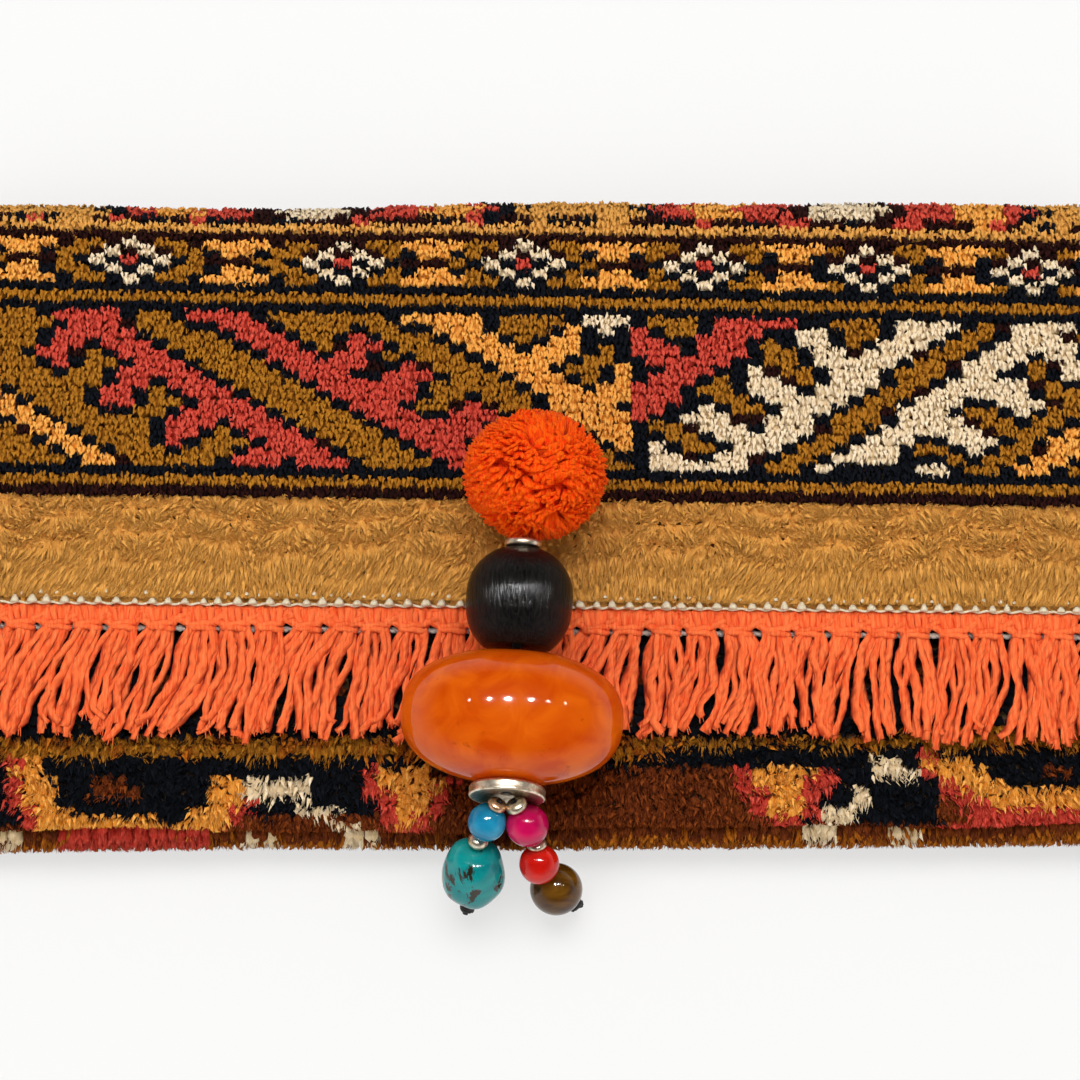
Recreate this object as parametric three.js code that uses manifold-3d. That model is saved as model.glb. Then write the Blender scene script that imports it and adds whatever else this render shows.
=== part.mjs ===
import * as THREE from 'three';
import Module from 'manifold-3d';

// A knotted wool clutch lying on its back: +X to its right, +Y to its top fold, +Z up.
// Millimetres. The origin is the middle of the back face.

// Bag
const bagWidth = 300;
const bagHeight = 161.6;
const rugThick = 5.5;
const pocketSpace = 6.4;
const liningThick = 0.5;
const fitGap = 0.3;
const seamThick = 2.4;
const mouthInset = 30.8;
const flapRise = 2.0;
const knotRow = 2.45;
const rowRelief = 0.4;
const wrapPitch = 6.0;

// Magnetic snap under the flap
const snapRadius = 7;
const snapThick = 2;
const snapInset = 17;
const snapLift = 0.2;

// Fringe at the flap's end
const headingDepth = 5.7;
const headingThick = 2.9;
const tasselPitch = 8.6;
const tasselWidth = 7;
const tasselLength = 33;
const tasselThick = 1.5;
const stitchPitch = 5.6;
const coreCord = 1.2;

// Charm
const cordThick = 2.2;
const strandThick = 1.2;
const boreGap = 0.35;
const beadGap = 0.3;
const bendGap = 0.8;
const pomRadius = 15.2;
const pomX = -1.2;
const topSpacerLength = 1.8;
const topSpacerRadius = 4.4;
const blackRadius = 12.6;
const blackLength = 23.6;
const blackX = -4.8;
const amberWide = 52;
const amberThick = 30;
const amberLength = 32;
const amberX = -6.55;
const capRadius = 9;
const capThick = 2.8;
const hangInset = 7.4;
const flapOverBead = 1.5;
const seatGap = 0.4;
const strandStart = 1.2;
const strandSpread = 1.5;
const spacerRadius = 2.5;
const spacerLength = 2.6;
const ringLength = 1.8;
const barrelLength = 3.0;
const barrelRadius = 2.3;
const blueRadius = 4.5;
const turquoiseRadius = 7.5;
const turquoiseLength = 17.5;
const magentaRadius = 5;
const redRadius = 4.75;
const brownRadius = 6.25;
const knotRadius = 1.9;
const knotLead = 0.9;
const tailLength = 3.5;

const backInner = rugThick;
const frontInner = backInner + pocketSpace;
const frontTop = frontInner + rugThick;
const flapUnder = frontTop + fitGap + liningThick + fitGap;
const flapTop = flapUnder + rugThick;
const bottomRadius = pocketSpace / 2;
const bottomOuter = bottomRadius + rugThick;
const bottomY = -bagHeight / 2 + bottomOuter;
const bottomZ = backInner + bottomRadius;
const topRadius = (flapUnder - flapRise - backInner) / 2;
const topOuter = topRadius + rugThick;
const topY = bagHeight / 2 - topOuter;
const topZ = backInner + topRadius;
const mouthY = bagHeight / 2 - mouthInset;
const levelY = mouthY + 4;
const rugHalf = bagWidth / 2 - seamThick - fitGap;

// Charm line: straight through the black bead on the flap and the amber bead on the front.
// Its cap hangs just inside the bottom fold, and the flap ends over the black bead.
const foldEdge = -bagHeight / 2;
const fringeTop = frontTop + fitGap + tasselThick;
const alongRaw = new THREE.Vector3(
  amberX - blackX,
  -(blackLength + amberLength) / 2 - beadGap,
  fringeTop + 2 * fitGap + amberThick / 2 - (flapTop + seatGap + blackRadius),
);
const amberShift = alongRaw.length();
const along = alongRaw.clone().normalize();
const capShift = amberShift + amberLength / 2 + beadGap + capThick / 2;
const hangShift = capShift + capThick / 2 + fitGap;
const blackY = foldEdge + hangInset - along.y * hangShift;
const blackAt = new THREE.Vector3(blackX, blackY, flapTop + seatGap + blackRadius);
const amberAt = blackAt.clone().add(alongRaw);
const spacerAt = -(blackLength / 2 + beadGap + topSpacerLength / 2);

function onLine(distance) {
  return blackAt.clone().addScaledVector(along, distance);
}

const lineTop = onLine(spacerAt - topSpacerLength / 2 - fitGap);
const pomAt = new THREE.Vector3(pomX, lineTop.y + pomRadius + beadGap, lineTop.z + seatGap);
const flapEndY = blackY + flapOverBead;
const snapY = flapEndY + snapInset;

const wasm = await Module();
wasm.setup();

const bag = new THREE.Group();
bag.name = 'rug_clutch_bag';

function addPart(name, geometry, color, roughness, metalness) {
  const material = new THREE.MeshStandardMaterial({ color, roughness, metalness });
  const mesh = new THREE.Mesh(geometry, material);
  mesh.name = name;
  bag.add(mesh);
}

// Closed shell from points and triangles, turned so that its faces look outward.
function shellOf(points, triangles) {
  let volume = 0;
  const side = new THREE.Vector3();
  for (const [a, b, c] of triangles) {
    side.crossVectors(points[b], points[c]);
    volume += points[a].dot(side);
  }
  const index = [];
  for (const [a, b, c] of triangles) {
    if (volume > 0) index.push(a, b, c);
    else index.push(a, c, b);
  }
  const geometry = new THREE.BufferGeometry();
  geometry.setAttribute('position', new THREE.Float32BufferAttribute(points.flatMap((p) => [p.x, p.y, p.z]), 3));
  geometry.setIndex(index);
  geometry.computeVertexNormals();
  return geometry;
}

// Skin over a row of rings that have the same number of points, closed at both ends.
function loft(rings) {
  const points = rings.flat();
  const n = rings[0].length;
  const triangles = [];
  for (let r = 0; r + 1 < rings.length; r++) {
    for (let i = 0; i < n; i++) {
      const a = r * n + i;
      const b = r * n + (i + 1) % n;
      triangles.push([a, b, b + n], [a, b + n, a + n]);
    }
  }
  const last = (rings.length - 1) * n;
  for (let i = 1; i + 1 < n; i++) {
    triangles.push([0, i + 1, i], [last, last + i, last + i + 1]);
  }
  return shellOf(points, triangles);
}

function mergePoints(geometry) {
  const seen = new Map();
  const points = [];
  const triangles = [];
  const position = geometry.attributes.position;
  const count = geometry.index ? geometry.index.count : position.count;
  const remap = [];
  for (let i = 0; i < position.count; i++) {
    const p = new THREE.Vector3().fromBufferAttribute(position, i);
    const key = [p.x, p.y, p.z].map((v) => Math.round(v * 2e3)).join(' ');
    if (!seen.has(key)) {
      seen.set(key, points.length);
      points.push(p);
    }
    remap.push(seen.get(key));
  }
  for (let i = 0; i < count; i += 3) {
    const corner = [0, 1, 2].map((k) => remap[geometry.index ? geometry.index.getX(i + k) : i + k]);
    if (new Set(corner).size === 3) triangles.push(corner);
  }
  return shellOf(points, triangles);
}

function solidOf(geometry) {
  const vertProperties = new Float32Array(geometry.attributes.position.array);
  const triVerts = new Uint32Array(geometry.index.array);
  return new wasm.Manifold(new wasm.Mesh({ numProp: 3, vertProperties, triVerts }));
}

function geometryOf(solid) {
  const mesh = solid.getMesh();
  const geometry = new THREE.BufferGeometry();
  geometry.setAttribute('position', new THREE.BufferAttribute(new Float32Array(mesh.vertProperties), 3));
  geometry.setIndex(new THREE.BufferAttribute(new Uint32Array(mesh.triVerts), 1));
  geometry.computeVertexNormals();
  return geometry;
}

// Outline in the Y-Z plane drawn out along X.
function drawnAlongX(outline, half) {
  const shape = new THREE.Shape(outline.map(([y, z]) => new THREE.Vector2(y, z)));
  const geometry = new THREE.ExtrudeGeometry(shape, { depth: 2 * half, bevelEnabled: false });
  geometry.applyMatrix4(new THREE.Matrix4().set(0, 0, 1, -half, 1, 0, 0, 0, 0, 1, 0, 0, 0, 0, 0, 1));
  return mergePoints(geometry);
}

function cylinderZ(radius, height, x, y, z, sides) {
  const geometry = new THREE.CylinderGeometry(radius, radius, height, sides);
  geometry.rotateX(Math.PI / 2);
  geometry.translate(x, y, z + height / 2);
  return mergePoints(geometry);
}

// The folded line of the rug's inner face, moved outward by the given offset.
// It runs from the mouth, round the bottom, up the back, over the top and down the flap.
function arcPoints(y, z, radius, from, to, steps) {
  const list = [];
  for (let i = 0; i <= steps; i++) {
    const a = from + (to - from) * i / steps;
    list.push([y + radius * Math.cos(a), z + radius * Math.sin(a)]);
  }
  return list;
}

function slopeAt(y) {
  const t = (y - levelY) / (topY - levelY);
  return flapUnder - flapRise * t * t;
}

function foldLine(offset, mouthTrim, flapTrim) {
  const line = [[mouthY - mouthTrim, frontInner + offset]];
  line.push(...arcPoints(bottomY, bottomZ, bottomRadius + offset, Math.PI / 2, Math.PI * 1.5, 14));
  line.push(...arcPoints(topY, topZ, topRadius + offset, -Math.PI / 2, Math.PI / 2, 16));
  for (const t of [0.75, 0.5, 0.25, 0]) {
    const y = levelY + (topY - levelY) * t;
    line.push([y, slopeAt(y) + offset]);
  }
  line.push([flapEndY + flapTrim, flapUnder + offset]);
  return line;
}

// Points at equal steps along a line, with the unit normal on its left.
function stationsOf(line, step) {
  const path = new THREE.CurvePath();
  for (let i = 0; i + 1 < line.length; i++) {
    path.add(new THREE.LineCurve(new THREE.Vector2(...line[i]), new THREE.Vector2(...line[i + 1])));
  }
  const count = Math.round(path.getLength() / step);
  const list = [];
  for (let i = 0; i <= count; i++) {
    const u = Math.min(i / count, 1);
    const p = path.getPointAt(u);
    const t = path.getTangentAt(Math.min(Math.max(u, 1e-4), 1 - 1e-4));
    list.push({ y: p.x, z: p.y, ny: t.y, nz: -t.x });
  }
  return list;
}

// Rug: rows of knots stand as low ridges on the front and the flap.
// The back lies flat.
function rugOutline() {
  const outer = foldLine(rugThick, 0, 0);
  const backStart = outer.findIndex(([y, z]) => z < 1e-6);
  const front = outer.slice(0, backStart + 1);
  const flap = outer.slice(backStart + 1);
  const ridged = [];
  for (const run of [front, flap]) {
    const stations = stationsOf(run, knotRow / 3);
    stations.forEach((s, i) => {
      const inset = i % 3 === 1 && s.z > 2 && i > 1 && i < stations.length - 2 ? rowRelief : 0;
      ridged.push([s.y - s.ny * inset, s.z - s.nz * inset]);
    });
  }
  return ridged.concat(foldLine(0, 0, 0).reverse());
}

const snapCupZ = frontTop - snapThick;
const snapStudZ = flapUnder - snapLift;
const rugSolid = solidOf(drawnAlongX(rugOutline(), rugHalf));
const cupHole = solidOf(cylinderZ(snapRadius + fitGap, snapThick + 2 * fitGap, 0, snapY, snapCupZ - fitGap, 28));
const studHole = solidOf(cylinderZ(snapRadius + fitGap, snapThick + 2 * fitGap, 0, snapY, snapStudZ - fitGap, 28));
addPart('rug_shell', geometryOf(rugSolid.subtract(cupHole).subtract(studHole)), 0x8a3f2a, 0.95, 0);

// Lining: one cloth that follows the inside of the rug.
function liningOutline() {
  const near = foldLine(-fitGap, 1.5, 8);
  const far = foldLine(-fitGap - liningThick, 1.5, 8);
  return near.concat(far.reverse());
}

const liningSolid = solidOf(drawnAlongX(liningOutline(), rugHalf - fitGap));
const liningHole = solidOf(cylinderZ(snapRadius + fitGap, flapUnder - frontTop, 0, snapY, frontTop, 28));
addPart('lining', geometryOf(liningSolid.subtract(liningHole)), 0x3a2a24, 0.8, 0);

const cupPart = solidOf(cylinderZ(snapRadius, snapThick, 0, snapY, snapCupZ, 28));
const cupWell = solidOf(cylinderZ(snapRadius / 3, snapThick, 0, snapY, snapCupZ + snapThick / 2, 20));
addPart('snap_cup', geometryOf(cupPart.subtract(cupWell)), 0xb9b2a4, 0.3, 1);
const studPart = solidOf(cylinderZ(snapRadius, snapThick, 0, snapY, snapStudZ, 28));
const pinLow = snapCupZ + snapThick / 2 + fitGap;
const studPin = solidOf(cylinderZ(snapRadius / 3 - 1.5 * fitGap, snapStudZ - pinLow + fitGap, 0, snapY, pinLow, 20));
addPart('snap_stud', geometryOf(studPart.add(studPin)), 0xb9b2a4, 0.3, 1);

// Side seams: yarn wrapped over the edges of front and back together.
function seamSide(side) {
  const rings = [];
  const from = -bagHeight / 2 + 1.4;
  const wraps = Math.round((mouthY - from) / wrapPitch);
  for (let i = 0; i <= wraps * 2; i++) {
    const y = from + (mouthY - from) * i / (wraps * 2);
    const inset = i % 2 === 0 ? 0.45 : 0;
    const across = Math.min(y - bottomY, 0);
    const reach = Math.sqrt(Math.max(bottomOuter * bottomOuter - across * across, 0)) - fitGap - inset;
    const low = bottomZ - reach;
    const high = bottomZ + reach;
    const x0 = side * (rugHalf + fitGap);
    const x1 = side * (bagWidth / 2 - inset);
    const xm = side * (bagWidth / 2 - inset - 1);
    const corners = [[x0, low], [xm, low], [x1, low + 1.6], [x1, high - 1.6], [xm, high], [x0, high]];
    rings.push(corners.map(([x, z]) => new THREE.Vector3(x, y, z)));
  }
  return loft(rings);
}

addPart('left_side_seam', seamSide(-1), 0x2a1a16, 0.95, 0);
addPart('right_side_seam', seamSide(1), 0x2a1a16, 0.95, 0);

// Bindings: the same yarn wrapped over the single edge of the top fold and the flap.
function bindingSide(side) {
  const line = foldLine(rugThick / 2, 0, 0.3);
  const start = line.findIndex(([y, z]) => z < backInner && y > 0);
  const run = [[mouthY + 1.5, rugThick / 2]].concat(line.slice(start));
  const stations = stationsOf(run, wrapPitch / 2);
  const rings = stations.map((s, i) => {
    const inset = i % 2 === 0 ? 0.45 : 0;
    const half = rugThick / 2 - inset;
    const x0 = side * (rugHalf + fitGap);
    const x1 = side * (bagWidth / 2 - inset);
    const xm = side * (bagWidth / 2 - inset - 1);
    const corners = [[x0, -half], [xm, -half], [x1, -half + 1.4], [x1, half - 1.4], [xm, half], [x0, half]];
    return corners.map(([x, o]) => new THREE.Vector3(x, s.y + s.ny * o, s.z + s.nz * o));
  });
  return loft(rings);
}

addPart('left_flap_binding', bindingSide(-1), 0x2a1a16, 0.95, 0);
addPart('right_flap_binding', bindingSide(1), 0x2a1a16, 0.95, 0);

// Fringe: a knotted heading against the flap's end, and flat tassels lying on the front.
const headingY = flapEndY - fitGap;
const headingLow = flapUnder + fitGap;
const headingTop = headingLow + headingThick;
const tasselRest = frontTop + fitGap + tasselThick / 2;
const tasselCount = Math.floor(2 * (rugHalf - 1) / tasselPitch);

function tassel(i) {
  const x = (i - (tasselCount - 1) / 2) * tasselPitch;
  const long = tasselLength + 1.6 * Math.sin(i * 2.3);
  const swing = -3.2 + 3.2 * x / rugHalf + 2.2 * Math.sin(i * 1.7);
  const lean = Math.max(swing, tasselWidth / 2 - rugHalf - x);
  const y0 = headingY - headingDepth * 0.45;
  const lifted = headingLow + headingThick * 0.55;
  const steps = [
    [0, 0.8, lifted, 2.4],
    [0.18, 0.88, lifted, 2.2],
    [0.52, 1, tasselRest, tasselThick],
    [0.86, 0.96, tasselRest, tasselThick],
    [1, 0.7, tasselRest - 0.2, tasselThick * 0.7],
  ];
  const rings = steps.map(([t, wide, z, thick]) => {
    const w = wide * tasselWidth / 2;
    const cx = x + lean * t * t;
    const y = y0 - (long - headingDepth * 0.45) * t;
    const ring = [[-w, 0], [-w * 0.7, -thick / 2], [w * 0.7, -thick / 2], [w, 0], [0, thick / 2]];
    return ring.map(([dx, dz]) => new THREE.Vector3(cx + dx, y, z + dz));
  });
  return solidOf(loft(rings));
}

// The heading swells at each knotted tassel.
function headingBar() {
  const rings = [];
  for (let i = 0; i <= tasselCount * 2; i++) {
    const x = (i - tasselCount) * tasselPitch / 2;
    const swell = i % 2;
    const top = headingTop - 0.9 * (1 - swell);
    const front = headingY - headingDepth * (0.86 + 0.14 * swell);
    const corners = [[headingY, headingLow], [headingY, top - 0.6], [(headingY + front) / 2, top], [front, top - 1.2],
      [front, headingLow]];
    rings.push(corners.map(([y, z]) => new THREE.Vector3(x, y, z)));
  }
  return loft(rings);
}

let fringeSolid = solidOf(headingBar());
for (let i = 0; i < tasselCount; i++) {
  fringeSolid = fringeSolid.add(tassel(i));
}
addPart('fringe', geometryOf(fringeSolid), 0xf46a39, 0.85, 0);

// White warp ends that bind the rug's cut end, in a zigzag over the heading.
function edgeStitch() {
  const count = Math.floor(2 * (rugHalf - 4) / stitchPitch) * 2;
  const rings = [];
  for (let i = 0; i <= count; i++) {
    const x = (i - count / 2) * stitchPitch / 2;
    const y = headingY - 0.15 - (i % 2) * 0.8;
    const z = headingTop + fitGap;
    rings.push([[0, 0], [-0.9, 0], [-0.9, 0.7], [0, 0.7]].map(([dy, dz]) => new THREE.Vector3(x, y + dy, z + dz)));
  }
  return loft(rings);
}

addPart('edge_stitch', edgeStitch(), 0xe9e2d2, 0.9, 0);

// Pale twisted cord under the necks of the tassels.
function coreCordLoft() {
  const rings = [];
  const steps = tasselCount * 2;
  for (let i = 0; i <= steps; i++) {
    const x = (i / steps - 0.5) * 2 * (rugHalf - 1.5);
    const r = coreCord / 2 * (i % 2 === 0 ? 1 : 0.78);
    const ring = [];
    for (let k = 0; k < 5; k++) {
      const a = k * Math.PI * 0.4;
      ring.push(new THREE.Vector3(x, headingY - headingDepth - fitGap - coreCord / 2 + r * Math.cos(a),
        frontTop + fitGap + coreCord / 2 + r * Math.sin(a)));
    }
    rings.push(ring);
  }
  return loft(rings);
}

addPart('fringe_core_cord', coreCordLoft(), 0xb9b3a8, 0.9, 0);

// Turned part: outline of radius and height about a bore, set with its lower end along a direction.
function turned(outline, bore, at, direction, sides) {
  const loop = [[bore, outline[0][1]], ...outline, [bore, outline[outline.length - 1][1]], [bore, outline[0][1]]];
  const geometry = new THREE.LatheGeometry(loop.map(([r, h]) => new THREE.Vector2(r, h)), sides);
  const turn = new THREE.Quaternion().setFromUnitVectors(new THREE.Vector3(0, -1, 0), direction);
  geometry.applyQuaternion(turn);
  geometry.translate(at.x, at.y, at.z);
  return mergePoints(geometry);
}

// Outline of a ball or egg whose ends are cut at the bore.
function roundOutline(radius, length, bore, steps, power) {
  const list = [];
  const end = Math.pow(1 - Math.pow(bore * 1.25 / radius, power), 1 / power);
  for (let i = 0; i <= steps; i++) {
    const t = -1 + 2 * i / steps;
    const h = end * Math.sin(t * Math.PI / 2);
    const r = radius * Math.pow(Math.max(1 - Math.pow(Math.abs(h), power), 0), 1 / power);
    list.push([r, h * length / 2 / end]);
  }
  return list;
}

const cordBore = cordThick / 2 + boreGap;
const strandBore = strandThick / 2 + boreGap;

// Wool ball sewn on the flap, its underside flattened on the pile.
const ball = new THREE.IcosahedronGeometry(1, 5);
const ballPoints = mergePoints(ball).attributes.position;
for (let i = 0; i < ballPoints.count; i++) {
  const p = new THREE.Vector3().fromBufferAttribute(ballPoints, i);
  const tuft = 0.965 + 0.035 * Math.sin(9 * p.x + 2) * Math.sin(11 * p.y) * Math.sin(10 * p.z + 1);
  ballPoints.setXYZ(i, p.x * tuft * pomRadius + pomAt.x, p.y * tuft * pomRadius + pomAt.y, p.z * tuft * pomRadius + pomAt.z);
}
const ballShell = mergePoints(ball);
ballShell.setAttribute('position', ballPoints);
const ballSeat = new THREE.BoxGeometry(4 * pomRadius, 4 * pomRadius, 4 * pomRadius);
ballSeat.translate(pomAt.x, pomAt.y, flapTop + fitGap - 2 * pomRadius);
addPart('pompom', geometryOf(solidOf(ballShell).subtract(solidOf(mergePoints(ballSeat)))), 0xe13f05, 0.95, 0);

addPart('top_spacer', turned([
  [topSpacerRadius * 0.7, -topSpacerLength / 2],
  [topSpacerRadius, -topSpacerLength / 4],
  [topSpacerRadius, topSpacerLength / 4],
  [topSpacerRadius * 0.7, topSpacerLength / 2],
], cordBore, onLine(spacerAt), along, 20), 0xbca788, 0.35, 1);

const blackHalf = blackLength / 2;
addPart('black_bead', turned([
  [blackRadius * 0.3, -blackHalf + 0.5],
  [blackRadius * 0.42, -blackHalf],
  [blackRadius * 0.63, -blackHalf * 0.86],
  [blackRadius * 0.82, -blackHalf * 0.64],
  [blackRadius * 0.965, -blackHalf * 0.3],
  [blackRadius, 0],
  [blackRadius * 0.965, blackHalf * 0.3],
  [blackRadius * 0.82, blackHalf * 0.64],
  [blackRadius * 0.63, blackHalf * 0.86],
  [blackRadius * 0.42, blackHalf],
  [blackRadius * 0.3, blackHalf - 0.5],
], cordBore, blackAt, along, 28), 0x232322, 0.5, 0);

// Amber bead: wide and flattened, bored through its short way.
const amberSteps = 12;
const amberOutline = [];
for (let i = 0; i <= amberSteps; i++) {
  const h = Math.sin((i / amberSteps - 0.5) * Math.PI);
  const r = Math.pow(Math.max(1 - Math.pow(Math.abs(h), 2.5), 0), 1 / 2.1);
  amberOutline.push(new THREE.Vector2(r * amberWide / 2, h * amberLength / 2));
}
const amberBall = new THREE.LatheGeometry(amberOutline, 32);
amberBall.scale(1, 1, amberThick / amberWide);
const amberTurn = new THREE.Quaternion().setFromUnitVectors(new THREE.Vector3(0, -1, 0), along);
amberBall.applyQuaternion(amberTurn);
amberBall.translate(amberAt.x, amberAt.y, amberAt.z);
const amberBore = new THREE.CylinderGeometry(cordBore, cordBore, amberLength + 8, 16);
amberBore.applyQuaternion(amberTurn);
amberBore.translate(amberAt.x, amberAt.y, amberAt.z);
addPart('amber_bead', geometryOf(solidOf(mergePoints(amberBall)).subtract(solidOf(mergePoints(amberBore)))),
  0xd14b03, 0.12, 0);

const capHalf = capThick / 2;
addPart('bead_cap_disc', turned([
  [cordBore + 0.8, -capHalf + 1.2],
  [capRadius * 0.62, -capHalf + 0.9],
  [capRadius * 0.9, -capHalf],
  [capRadius, -capHalf + 0.7],
  [capRadius, capHalf - 0.7],
  [capRadius * 0.88, capHalf],
  [cordBore + 0.8, capHalf],
], cordBore, onLine(capShift), along, 28), 0xbca788, 0.35, 1);

// Cord with a round section along a bent line of points.
function cordAlong(points, radius, sides) {
  const rings = points.map((p, i) => {
    const before = points[Math.max(i - 1, 0)];
    const after = points[Math.min(i + 1, points.length - 1)];
    const way = after.clone().sub(before).normalize();
    const acrossWay = new THREE.Vector3(0, 0, 1).cross(way).normalize();
    const upWay = way.clone().cross(acrossWay);
    const ring = [];
    for (let k = 0; k < sides; k++) {
      const a = 2 * Math.PI * k / sides;
      ring.push(p.clone().addScaledVector(acrossWay, radius * Math.cos(a)).addScaledVector(upWay, radius * Math.sin(a)));
    }
    return ring;
  });
  return loft(rings);
}

const cordEnd = onLine(capShift + capHalf - 1.3);
addPart('charm_cord', cordAlong([lineTop, cordEnd], cordThick / 2, 12), 0x17130f, 0.8, 0);

// Two strands that drop from the cap over the bag's bottom fold.
const hang = onLine(hangShift);

function strand(side, ways, pieces) {
  const start = hang.clone().add(new THREE.Vector3(side * strandSpread, 0, 0));
  const line = [start.clone()];
  const here = start.clone();
  pieces.forEach((piece, i) => {
    const way = ways[piece.to].clone().normalize();
    const lead = i === 0 ? strandStart : piece.gap;
    const at = here.clone().addScaledVector(way, lead + piece.length / 2);
    addPart(piece.name, piece.shape(at, way), piece.color, piece.rough, piece.metal);
    here.addScaledVector(way, lead + piece.length);
    line.push(here.clone());
  });
  here.addScaledVector(ways.knot.clone().normalize(), knotLead + knotRadius);
  line.push(here.clone());
  const knot = new THREE.IcosahedronGeometry(knotRadius, 1);
  knot.translate(here.x, here.y, here.z);
  line.push(here.clone().addScaledVector(ways.tail.clone().normalize(), tailLength));
  const cord = solidOf(cordAlong(line, strandThick / 2, 8)).add(solidOf(mergePoints(knot)));
  return geometryOf(cord);
}

function rondelle(radius, length) {
  return (at, way) => turned([
    [radius * 0.72, -length / 2],
    [radius, -length / 4],
    [radius, length / 4],
    [radius * 0.72, length / 2],
  ], strandBore, at, way, 14);
}

function roundBead(radius, length, power) {
  return (at, way) => turned(roundOutline(radius, length, strandBore, 8, power), strandBore, at, way, 18);
}

// Directions of each length of strand, from the cap to the end of the cord.
const leftWays = {
  blue: new THREE.Vector3(-0.428, -0.6, -0.676),
  turquoise: new THREE.Vector3(-0.123, -0.595, -0.794),
  knot: new THREE.Vector3(-0.18, -0.73, -0.66),
  tail: new THREE.Vector3(-0.34, -0.85, -0.4),
};
const rightWays = {
  magenta: new THREE.Vector3(0.407, -0.612, -0.678),
  red: new THREE.Vector3(0.106, -0.706, -0.7),
  brown: new THREE.Vector3(0.516, -0.161, -0.842),
  knot: new THREE.Vector3(0.58, -0.78, -0.23),
  tail: new THREE.Vector3(0.96, 0.23, -0.11),
};

addPart('left_strand_cord', strand(-1, leftWays, [
  { name: 'left_upper_spacer', to: 'blue', gap: 0, length: 2.2, shape: rondelle(2.2, 2.2), color: 0x9c6a44, rough: 0.35, metal: 1 },
  { name: 'blue_bead', to: 'blue', gap: beadGap, length: 2 * blueRadius, shape: roundBead(blueRadius, 2 * blueRadius, 2),
    color: 0x1a8aa3, rough: 0.25, metal: 0 },
  { name: 'left_lower_spacer', to: 'turquoise', gap: bendGap, length: barrelLength, shape: rondelle(barrelRadius, barrelLength),
    color: 0xbca788, rough: 0.35, metal: 1 },
  { name: 'turquoise_bead', to: 'turquoise', gap: beadGap, length: turquoiseLength,
    shape: roundBead(turquoiseRadius, turquoiseLength, 2.3), color: 0x1a8b8d, rough: 0.3, metal: 0 },
]), 0x17130f, 0.8, 0);

addPart('right_strand_cord', strand(1, rightWays, [
  { name: 'right_upper_spacer', to: 'magenta', gap: 0, length: spacerLength, shape: rondelle(spacerRadius, spacerLength),
    color: 0xbca788, rough: 0.35, metal: 1 },
  { name: 'magenta_bead', to: 'magenta', gap: beadGap, length: 2 * magentaRadius,
    shape: roundBead(magentaRadius, 2 * magentaRadius, 2), color: 0xb7164a, rough: 0.2, metal: 0 },
  { name: 'right_lower_spacer', to: 'red', gap: bendGap, length: ringLength, shape: rondelle(spacerRadius * 0.9, ringLength),
    color: 0xbca788, rough: 0.35, metal: 1 },
  { name: 'red_bead', to: 'red', gap: beadGap, length: 2 * redRadius, shape: roundBead(redRadius, 2 * redRadius, 2),
    color: 0xcb2015, rough: 0.2, metal: 0 },
  { name: 'brown_bead', to: 'brown', gap: 1.5 * bendGap, length: 2 * brownRadius,
    shape: roundBead(brownRadius, 2 * brownRadius, 2), color: 0x63380f, rough: 0.25, metal: 0 },
]), 0x17130f, 0.8, 0);

export default bag;
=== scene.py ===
import math

import bpy
import numpy as np
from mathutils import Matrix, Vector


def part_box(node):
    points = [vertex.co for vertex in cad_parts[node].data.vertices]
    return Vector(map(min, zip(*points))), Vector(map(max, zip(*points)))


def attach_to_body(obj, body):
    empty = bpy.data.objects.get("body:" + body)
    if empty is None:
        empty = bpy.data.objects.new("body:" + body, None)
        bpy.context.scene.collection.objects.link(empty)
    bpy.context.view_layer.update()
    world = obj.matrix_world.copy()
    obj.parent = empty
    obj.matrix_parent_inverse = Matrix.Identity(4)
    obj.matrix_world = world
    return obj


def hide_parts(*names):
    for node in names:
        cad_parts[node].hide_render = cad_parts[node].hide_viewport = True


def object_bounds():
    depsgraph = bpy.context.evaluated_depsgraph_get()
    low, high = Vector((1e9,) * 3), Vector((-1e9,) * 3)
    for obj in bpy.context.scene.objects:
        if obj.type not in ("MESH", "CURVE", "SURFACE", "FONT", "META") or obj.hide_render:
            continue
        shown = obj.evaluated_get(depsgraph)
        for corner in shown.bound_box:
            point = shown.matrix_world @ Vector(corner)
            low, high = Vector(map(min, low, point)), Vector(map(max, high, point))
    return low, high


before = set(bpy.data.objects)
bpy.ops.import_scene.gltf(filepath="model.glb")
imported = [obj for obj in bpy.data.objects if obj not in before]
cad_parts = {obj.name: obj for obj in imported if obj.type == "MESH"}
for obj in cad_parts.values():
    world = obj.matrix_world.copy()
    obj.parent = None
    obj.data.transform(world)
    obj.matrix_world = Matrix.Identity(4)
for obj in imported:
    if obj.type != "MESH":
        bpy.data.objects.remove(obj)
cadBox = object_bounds()
rng = np.random.default_rng(27)
mm = 0.001
fullTurn = 2 * math.pi


def hexLinear(code):
    parts = [int(code[i:i + 2], 16) / 255 for i in (1, 3, 5)]
    return tuple(c / 12.92 if c <= 0.04045 else ((c + 0.055) / 1.055) ** 2.4 for c in parts) + (1.0,)


# a node with its settings, and its inputs from sockets, hex colours or plain values; gives one output
def addNode(tree, kind, inputs=None, output=0, **settings):
    node = tree.nodes.new("ShaderNode" + kind)
    for key, value in settings.items():
        setattr(node, key, value)
    for key, value in (inputs or {}).items():
        if isinstance(value, bpy.types.NodeSocket):
            tree.links.new(value, node.inputs[key])
        else:
            node.inputs[key].default_value = hexLinear(value) if isinstance(value, str) else value
    return node.outputs[output] if node.outputs else None


def newTree(name):
    material = bpy.data.materials.new(name)
    material.use_nodes = True
    material.node_tree.nodes.clear()
    return material, material.node_tree


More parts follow.
